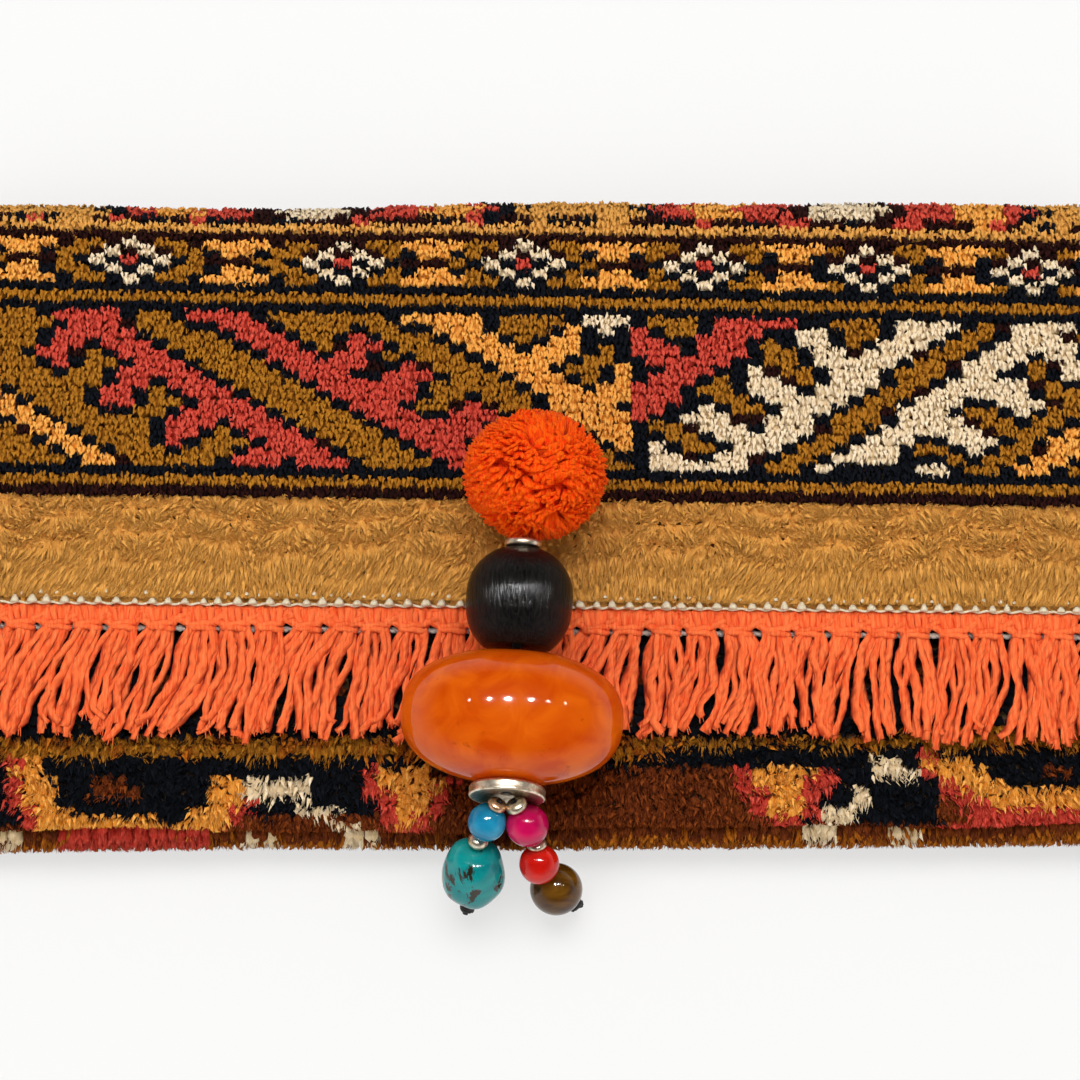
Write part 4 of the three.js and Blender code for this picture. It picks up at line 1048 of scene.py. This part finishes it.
# pale grey twisted cord of two plies that lies behind the necks of the tassels
coreCord = {"ply": 1.0, "off": 0.46, "pitch": 3.2, "up": 1.1, "back": 1.4, "colours": ("#938c84", "#e4dcd0")}
coreLow, coreHigh = np.array(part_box("fringe_core_cord")) / mm
coreMiddle = (coreLow + coreHigh) / 2
material = threadMaterial("bleached_cotton_cord", *coreCord["colours"], 0.5, cotton)
cordX = np.linspace(coreLow[0], coreHigh[0], 300)
plyPaths = []
for start in (0, math.pi):
    angle = start + fullTurn * cordX / coreCord["pitch"]
    cordY = coreMiddle[1] + fold["skew"] * cordX + coreCord["off"] * np.cos(angle) + coreCord["back"]
    cordZ = coreMiddle[2] + coreCord["up"] + coreCord["off"] * np.sin(angle)
    plyPaths.append(np.stack([cordX, cordY, cordZ], -1))
plies = tubes(np.array(plyPaths), coreCord["ply"], coreCord["ply"], 6)
corePiece = addPiece("twisted_core_cord", [plies], material, "bag", ["fringe_core_cord"])
print("fringe tied")

# wool ball: a ball of cut yarn ends that curl and part in clumps, over a core
ball = {"at": (-1.2, 3.63, 38.5), "tips": 17.0, "core": 12.4, "root": 9.9, "count": 1950, "yarn": 1.5,
        "shape": (1.0, 0.91, 0.93), "lowest": -0.86, "soft": 0.4, "wander": 0.05, "bend": (0.1, 0.32),
        "bendWander": 0.07, "uneven": (-0.9, 0.5), "flat": (0.62, 0.42), "coreShare": 0.35,
        "colours": ("#ee3000", "#fe4400", "#ff6c0c")}
# stations up a cut end: how far, how thick, and the tip share there, which paints shade at the root and a
# highlight near the tip
cutStations = ((0.0, 0.6, 0.0), (0.45, 0.9, 0.4), (0.78, 1.0, 0.75), (0.95, 0.72, 0.95))
at = np.array(ball["at"])
order = np.arange(ball["count"]) + 0.5
polar = np.arccos(1 - 2 * order / ball["count"])
spin = math.pi * (1 + 5 ** 0.5) * order
way = np.stack([np.sin(polar) * np.cos(spin), np.sin(polar) * np.sin(spin), np.cos(polar)], 1)
way = unit(way + rng.normal(0, ball["wander"], way.shape))
way = way[way[:, 2] > ball["lowest"]]
wayX, wayY, wayZ = way.T
bend = np.stack([np.sin(5 * wayY + 2) + np.sin(7 * wayZ), np.sin(6 * wayZ + 1) + np.sin(5 * wayX),
                 np.sin(6 * wayX + 3) + np.sin(7 * wayY)], 1)
bend = unit(bend - way * (bend * way).sum(1, keepdims=True)) * rng.uniform(*ball["bend"], (len(way), 1))
bend = bend + rng.normal(0, ball["bendWander"], way.shape)
reachOut = ball["tips"] + rng.uniform(*ball["uneven"], len(way))
side = unit(np.cross(way, rng.normal(0, 1, way.shape)))
other = np.cross(way, side)
square = fullTurn * np.arange(4)[None, :, None] / 4
wide, thick = ball["flat"]
section = side[:, None, :] * np.cos(square) * wide + other[:, None, :] * np.sin(square) * thick
section = section * ball["yarn"]
rings = []
for share, size, tipShare in cutStations:
    radius = ball["root"] + (reachOut - ball["root"]) * share
    middle = unit(way + bend * share ** 1.8) * radius[:, None]
    rings.append(middle[:, None, :] + section * size)
tips = unit(way + bend * 1.02) * (reachOut + 0.25)[:, None]
cutEnds = ringSolids(np.stack(rings, 1) * ball["shape"] + at, tips * ball["shape"] + at,
                     [tipShare for share, size, tipShare in cutStations])
cutEnds[0][:, 2] = np.maximum(cutEnds[0][:, 2], flapTop + 0.3)
latitude = (np.linspace(-0.48, 0.48, 14) * math.pi)[:, None]
longitude = fullTurn * np.arange(24) / 24
globe = [np.cos(latitude) * np.cos(longitude), np.cos(latitude) * np.sin(longitude), np.sin(latitude)]
globe = np.stack(np.broadcast_arrays(*globe), -1) * ball["core"] * ball["shape"] + at
# the core takes a low tip share, which paints it in shade under the cut ends
core = ringSolids(globe[None], None, np.full(len(globe), ball["coreShare"]))
ballWool = woolMaterial("wool_ball_yarn", *ball["colours"], fibre=0.4, root=0.7)
ballSolids = [solid + (unit(solid[0] - at),) for solid in (cutEnds, core)]
addPiece("wool_ball", ballSolids, ballWool, "bag", ["pompom"], ball["soft"])
print("ball cut")

# the charm's line, from the spacer under the ball to the cap
charm = {"black": (-4.8, -26.0, 37.0), "amber": (-6.55, -54.1, 34.8), "spacer": (-3.99, -13.06, 38.01),
         "cap": (-7.65, -71.72, 33.42), "hang": (-7.752, -73.404, 33.289), "cord": 2.2, "bore": 1.45,
         "spread": 1.5}
along = unit(np.array(charm["amber"]) - np.array(charm["black"]))


# a ball or egg whose ends are cut at the bore
def roundProfile(radius, length, bore, power=2.0, steps=36):
    end = (1 - (bore * 1.25 / radius) ** power) ** (1 / power)
    high = end * np.sin(np.linspace(-1, 1, steps) * math.pi / 2)
    wide = radius * np.maximum(1 - np.abs(high) ** power, 0) ** (1 / power)
    outer = np.stack([wide, high * length / 2 / end], 1)
    return np.concatenate([[(bore, outer[0, 1] + 0.15)], outer, [(bore, outer[-1, 1] - 0.15)]])


# turned wood, stained black and oiled: satin, with fine grain lines along the bore
black = {"radius": 12.6, "long": 23.6, "grain": 0.55, "grainLong": 14, "mouth": 3.6, "chamfer": 0.5,
         "colours": ("#080707", "#1d1a18")}
material, tree = newTree("black_stained_wood")
place = addNode(tree, "TexCoord", output="Object")
grainWay = addNode(tree, "Mapping", {
    "Vector": place, "Scale": perGrain(black["grain"], black["grainLong"], black["grain"])})
grain = addNode(tree, "TexNoise", {"Vector": grainWay, "Scale": 1.0, "Detail": 4.0, "Roughness": 0.6}, "Fac")
lines = addNode(tree, "MapRange", {"Value": grain, "From Min": 0.35, "From Max": 0.75})
first, second = black["colours"]
colour = addNode(tree, "Mix", {0: lines, 6: first, 7: second}, 2, data_type="RGBA")
rough = addNode(tree, "MapRange", {"Value": grain, "To Min": 0.1, "To Max": 0.24})
bump = addNode(tree, "Bump", {"Height": grain, "Strength": 0.9, "Distance": 0.4 * mm})
shader = addNode(tree, "BsdfPrincipled", {
    "Base Color": colour, "Roughness": rough, "Specular IOR Level": 0.15, "Normal": bump})
addNode(tree, "OutputMaterial", {"Surface": shader})
high = np.sin(np.linspace(-1, 1, 44) * math.pi / 2)
# the lower end is broader than the upper
power, reach = np.where(high > 0, 2.6, 2.2), np.where(high > 0, 0.82, 0.95)
wide = black["radius"] * (1 - np.abs(high * reach) ** power) ** (1 / 2.05)
end = black["long"] / 2
profile = np.stack([wide, high * end], 1)
profile = profile[profile[:, 0] > black["mouth"] + 0.4]
foot = [(charm["bore"], -end + black["chamfer"] + 0.3), (black["mouth"], -end + black["chamfer"])]
head = [(black["mouth"], end - black["chamfer"]), (charm["bore"], end - black["chamfer"] - 0.3)]
barrel = turned(np.concatenate([foot, profile, head]), charm["black"], along, 72)
addPiece("black_wood_bead", [barrel], material, "black_bead", ["black_bead"])

# cast amber-coloured resin: polished and glassy, with soft clouds and a few dark veins inside
amber = {"wide": 52.0, "long": 32.0, "thick": 30.0, "cloud": (9.0, 9.0, 9.0), "vein": (5.0, 5.0, 5.0),
         "colours": ("#c84602", "#e0640a"), "veinColour": "#8e2800"}
material, tree = newTree("amber_resin")
place = addNode(tree, "TexCoord", output="Object")
clouds = addNode(tree, "Mapping", {"Vector": place, "Scale": perGrain(*amber["cloud"])})
cloud = addNode(tree, "TexNoise", {"Vector": clouds, "Scale": 1.0, "Detail": 3.0, "Distortion": 0.8}, "Fac")
veins = addNode(tree, "Mapping", {"Vector": place, "Scale": perGrain(*amber["vein"])})
vein = addNode(tree, "TexNoise", {"Vector": veins, "Scale": 1.0, "Detail": 6.0, "Roughness": 0.65,
                                  "Distortion": 1.2}, "Fac")
clouded = addNode(tree, "MapRange", {"Value": cloud, "From Min": 0.35, "From Max": 0.68})
veined = addNode(tree, "MapRange", {"Value": vein, "From Min": 0.62, "From Max": 0.8})
first, second = amber["colours"]
tone = addNode(tree, "Mix", {0: clouded, 6: first, 7: second}, 2, data_type="RGBA")
colour = addNode(tree, "Mix", {0: veined, 6: tone, 7: amber["veinColour"]}, 2, data_type="RGBA")
shader = addNode(tree, "BsdfPrincipled", {
    "Base Color": colour, "Roughness": 0.06, "IOR": 1.54, "Specular IOR Level": 0.28,
    "Subsurface Weight": 0.12, "Subsurface Radius": (1.0, 0.35, 0.1), "Subsurface Scale": 0.004})
addNode(tree, "OutputMaterial", {"Surface": shader})
high = np.sin(np.linspace(-1, 1, 64) * math.pi / 2)
wide = amber["wide"] / 2 * np.maximum(1 - np.abs(high) ** 2.5, 0) ** (1 / 2.1)
profile = np.stack([wide, high * amber["long"] / 2], 1)
profile = profile[profile[:, 0] > charm["bore"] + 0.4]
foot, head = [(charm["bore"], profile[0, 1] + 0.3)], [(charm["bore"], profile[-1, 1] - 0.3)]
profile = np.concatenate([foot, profile, head])
points, faces, shares = turned(profile, (0, 0, 0), (0, 0, 1), 96)
# the bead is flattened through the bag, but its bore stays round
pastBore = np.hypot(points[:, 0], points[:, 1]) > charm["bore"] + 0.3
squash = np.where(pastBore, amber["thick"] / amber["wide"], 1.0)
sideWay = unit(np.cross(along, (0.0, 0.0, 1.0)))
upWay = np.cross(sideWay, along)
points = (np.array(charm["amber"]) + points[:, :1] * sideWay + (points[:, 1] * squash)[:, None] * upWay
          + points[:, 2:] * along)
faces = [face[:, ::-1] for face in faces]
addPiece("amber_resin_bead", [(points, faces, shares)], material, "charm", ["amber_bead"])


# worn alloy: cast and polished, bright, with duller and rougher marks of some mm
def metalMaterial(name, bright, dull, grit):
    material, tree = newTree(name)
    place = addNode(tree, "TexCoord", output="Object")
    grits = addNode(tree, "Mapping", {"Vector": place, "Scale": perGrain(grit, grit, grit)})
    marks = addNode(tree, "TexNoise", {"Vector": grits, "Scale": 1.0, "Detail": 4.0, "Roughness": 0.6}, "Fac")
    worn = addNode(tree, "MapRange", {"Value": marks, "From Min": 0.4, "From Max": 0.7})
    colour = addNode(tree, "Mix", {0: worn, 6: bright, 7: dull}, 2, data_type="RGBA")
    rough = addNode(tree, "MapRange", {"Value": marks, "To Min": 0.22, "To Max": 0.48})
    bump = addNode(tree, "Bump", {"Height": marks, "Strength": 0.25, "Distance": 0.2 * mm})
    shader = addNode(tree, "BsdfPrincipled", {"Base Color": colour, "Metallic": 1.0, "Roughness": rough,
                                              "Normal": bump})
    addNode(tree, "OutputMaterial", {"Surface": shader})
    return material


# polished dyed stone: glassy surface over a colour that drifts in soft bands, with dark veins in some
def stoneMaterial(name, deep, light, band, rough=0.1, vein=None, veinMm=2.0):
    material, tree = newTree(name)
    place = addNode(tree, "TexCoord", output="Object")
    bands = addNode(tree, "Mapping", {
        "Vector": place, "Rotation": (0.5, 0.3, 0.7), "Scale": perGrain(band / 0.4, band, band)})
    drift = addNode(tree, "TexNoise", {
        "Vector": bands, "Scale": 1.0, "Detail": 3.0, "Distortion": 0.6}, "Fac")
    banded = addNode(tree, "MapRange", {"Value": drift, "From Min": 0.32, "From Max": 0.68})
    colour = addNode(tree, "Mix", {0: banded, 6: deep, 7: light}, 2, data_type="RGBA")
    inputs = {"Roughness": rough, "IOR": 1.54, "Specular IOR Level": 0.4}
    if vein:
        veinWay = addNode(tree, "Mapping", {"Vector": place, "Rotation": (0.3, 0.9, 0.4),
                                            "Scale": perGrain(veinMm, veinMm / 0.4, veinMm / 0.7)})
        cracks = addNode(tree, "TexNoise", {
            "Vector": veinWay, "Scale": 0.62, "Detail": 5.0, "Roughness": 0.68, "Distortion": 0.5}, "Fac")
        mask = addNode(tree, "MapRange", {"Value": cracks, "From Min": 0.565, "From Max": 0.6})
        colour = addNode(tree, "Mix", {0: mask, 6: colour, 7: vein}, 2, data_type="RGBA")
        sunk = {"Height": mask, "Strength": 0.4, "Distance": 0.3 * mm}
        inputs["Normal"] = addNode(tree, "Bump", sunk, invert=True)
    shader = addNode(tree, "BsdfPrincipled", {"Base Color": colour, **inputs})
    addNode(tree, "OutputMaterial", {"Surface": shader})
    return material


stuffs = {
    "silver": metalMaterial("worn_silver_alloy", "#efe3cc", "#b89c78", 1.3),
    "copper": metalMaterial("worn_copper_alloy", "#ecc09c", "#b07a52", 1.0),
    "steel": metalMaterial("nickel_plated_steel", "#c9c9c7", "#8d8c8a", 1.5),
    "blue": stoneMaterial("blue_dyed_agate", "#08709c", "#2498c0", 4.0),
    "turquoise": stoneMaterial("turquoise_with_matrix", "#04757c", "#0f9b98", 5.0, 0.08, "#2c2416", 2.6),
    "magenta": stoneMaterial("magenta_dyed_agate", "#a60446", "#d20a58", 4.0),
    "red": stoneMaterial("red_coral_glass", "#b40d06", "#d81e10", 4.0),
    "brown": stoneMaterial("banded_brown_quartz", "#3e2203", "#7c5212", 3.6),
    # black waxed cord: round, dull, with a faint twist
    "cord": threadMaterial("black_waxed_cord", "#0a0908", "#2c2825", 0.35, {"Roughness": 0.55}, 0.5),
}
for name in ("snap_cup", "snap_stud"):
    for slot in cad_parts[name].material_slots:
        slot.material = stuffs["steel"]


# an outline of radius and height, foot to head, with each corner rounded by a short curve
def roundedProfile(corners, bore, steps=6, cut=0.35):
    corners = np.array(corners, float)
    share = np.linspace(0, 1, steps)[:, None]
    points = [corners[:1]]
    for before, corner, after in zip(corners[:-2], corners[1:-1], corners[2:]):
        start, end = corner + (before - corner) * cut, corner + (after - corner) * cut
        points.append((1 - share) ** 2 * start + 2 * share * (1 - share) * corner + share ** 2 * end)
    return np.concatenate([[(bore, corners[0][1])], *points, corners[-1:], [(bore, corners[-1][1])]])


spacer = {"radius": 4.4, "half": 0.9,
          "outline": ((0.7, -1.0), (0.95, -5 / 6), (1.0, 0.0), (0.95, 5 / 6), (0.7, 1.0))}
outline = np.array(spacer["outline"]) * (spacer["radius"], spacer["half"])
addPiece("top_silver_spacer", [turned(roundedProfile(outline, charm["bore"]), charm["spacer"], along)],
         stuffs["silver"], "charm", ["top_spacer"])
cap = {"radius": 9.0, "half": 1.4, "tip": 0.15, "hub": 0.25}
# the dish by shares of its radius, and heights from its foot and then from its rim
footSide = ((cap["hub"], 0.2), (0.6, 0.1), (0.94, 0.0), (1.0, 0.6))
rimSide = ((1.0, -0.3), (0.955, 0.0), (0.9, -0.1), (0.62, -0.85), (cap["hub"], -1.25))
dish = [(cap["radius"] * share, high - cap["half"]) for share, high in footSide]
dish += [(cap["radius"] * 0.985, 0.2)]
dish += [(cap["radius"] * share, high + cap["half"]) for share, high in rimSide]
capAxis = along + (0, 0, cap["tip"])
dish = turned(roundedProfile(dish, charm["bore"]), charm["cap"], capAxis, 64)
addPiece("silver_cap_dish", [dish], stuffs["silver"], "charm", ["bead_cap_disc"])
cordStart, cordEnd = np.array(charm["spacer"]) - along * 1.2, np.array(charm["cap"]) + along * 0.1
cordLine = np.linspace(cordStart, cordEnd, 60)[None]
cordTube = tubes(cordLine, charm["cord"], charm["cord"], 10, 3, 2.2, 0.08)
addPiece("charm_cord_length", [cordTube], stuffs["cord"], "charm", ["charm_cord"])

# strands of small beads: each by its way along the cord, lead, length, radius, shape power, stuff and slot
strandCord = {"thick": 1.2, "bore": 0.7, "knotLead": 0.4, "knotRadius": 1.9, "tail": 1.9,
              "coil": 1.0, "coilHalf": 0.75}
strands = {
    "left": {
        "side": -1,
        "ways": {"blue": (-0.428, -0.6, -0.676), "turquoise": (-0.123, -0.595, -0.794),
                 "knot": (-0.18, -0.73, -0.66), "tail": (-0.34, -0.85, -0.4)},
        "pieces": [("left_upper_spacer", "blue", 0.5, 2.2, 2.2, 0, "copper", "copper_metal"),
                   ("blue_bead", "blue", 0.05, 9.0, 4.5, 2.0, "blue", "blue_stone"),
                   ("left_lower_spacer", "turquoise", 0.1, 3.0, 2.3, 0, "silver", "silver_metal"),
                   ("turquoise_bead", "turquoise", 0.05, 17.5, 7.5, 2.3, "turquoise", "turquoise_stone")]},
    "right": {
        "side": 1,
        "ways": {"magenta": (0.407, -0.612, -0.678), "red": (0.106, -0.706, -0.7),
                 "brown": (0.516, -0.161, -0.842), "knot": (0.58, -0.78, -0.23), "tail": (0.96, 0.23, -0.11)},
        "pieces": [("right_upper_spacer", "magenta", 0.5, 2.6, 2.5, 0, "silver", "silver_metal"),
                   ("magenta_bead", "magenta", 0.05, 10.0, 5.0, 2.0, "magenta", "magenta_stone"),
                   ("right_lower_spacer", "red", 0.1, 1.8, 2.25, 0, "silver", "silver_metal"),
                   ("red_bead", "red", 0.05, 9.5, 4.75, 2.0, "red", "red_stone"),
                   ("brown_bead", "brown", 0.6, 12.5, 6.25, 2.0, "brown", "brown_stone")]},
}
for side, strand in strands.items():
    body = side + "_strand"
    here = np.array(charm["hang"]) + (strand["side"] * charm["spread"], 0, 0)
    points = [here]
    for name, to, lead, long, radius, power, stuff, slot in strand["pieces"]:
        way = unit(np.array(strand["ways"][to]))
        at = here + way * (lead + long / 2)
        if power:
            solid = turned(roundProfile(radius, long, strandCord["bore"], power), at, way, 56)
            if stuff == "turquoise":
                # a tumbled pebble, its sides worn a little flat
                off = solid[0] - at
                worn = np.sin(off[:, :1] * 0.55 + 1) * np.sin(off[:, 1:2] * 0.4 + off[:, 2:] * 0.35)
                solid[0][:] += unit(off) * (0.35 * worn - 0.1)
            addPiece(name + "_stone", [solid], stuffs[stuff], body, [name])
        else:
            bead = roundProfile(radius * 1.04, long * 1.1, strandCord["bore"], 2.4, 18)
            addPiece(name + "_ring", [turned(bead, at, way, 40)], stuffs[stuff], body, [name])
        here = here + way * (lead + long)
        points.append(here)
    knotWay, tailWay = (unit(np.array(strand["ways"][to])) for to in ("knot", "tail"))
    knotAt = here + knotWay * (strandCord["knotLead"] + strandCord["knotRadius"])
    # the knot: two and a half turns of the cord about itself, then the cut tail
    sideWay = unit(np.cross(knotWay, (0.0, 0.0, 1.0)))
    wound = np.linspace(0, 2.5 * fullTurn, 40)[:, None]
    coil = strandCord["coil"] * (np.cos(wound) * sideWay + np.sin(wound) * np.cross(knotWay, sideWay))
    coil = knotAt + coil + np.linspace(-strandCord["coilHalf"], strandCord["coilHalf"], 40)[:, None] * knotWay
    route = [np.linspace(start, end, 8) for start, end in zip(points[:-1], points[1:])]
    route = np.concatenate(route + [np.linspace(points[-1], knotAt, 6)])
    tail = np.linspace(knotAt, knotAt + tailWay * strandCord["tail"], 10)
    cordSolids = [tubes(path[None], strandCord["thick"] * size, strandCord["thick"] * size, 8, 3, 3.0, 0.08,
                        up=(0.3, 0.2, 0.9)) for path, size in ((route, 1.0), (coil, 1.4), (tail, 1.1))]
    addPiece(side + "_strand_cord_length", cordSolids, stuffs["cord"], body,
             [side + "_strand_cord"])
print("charm strung")
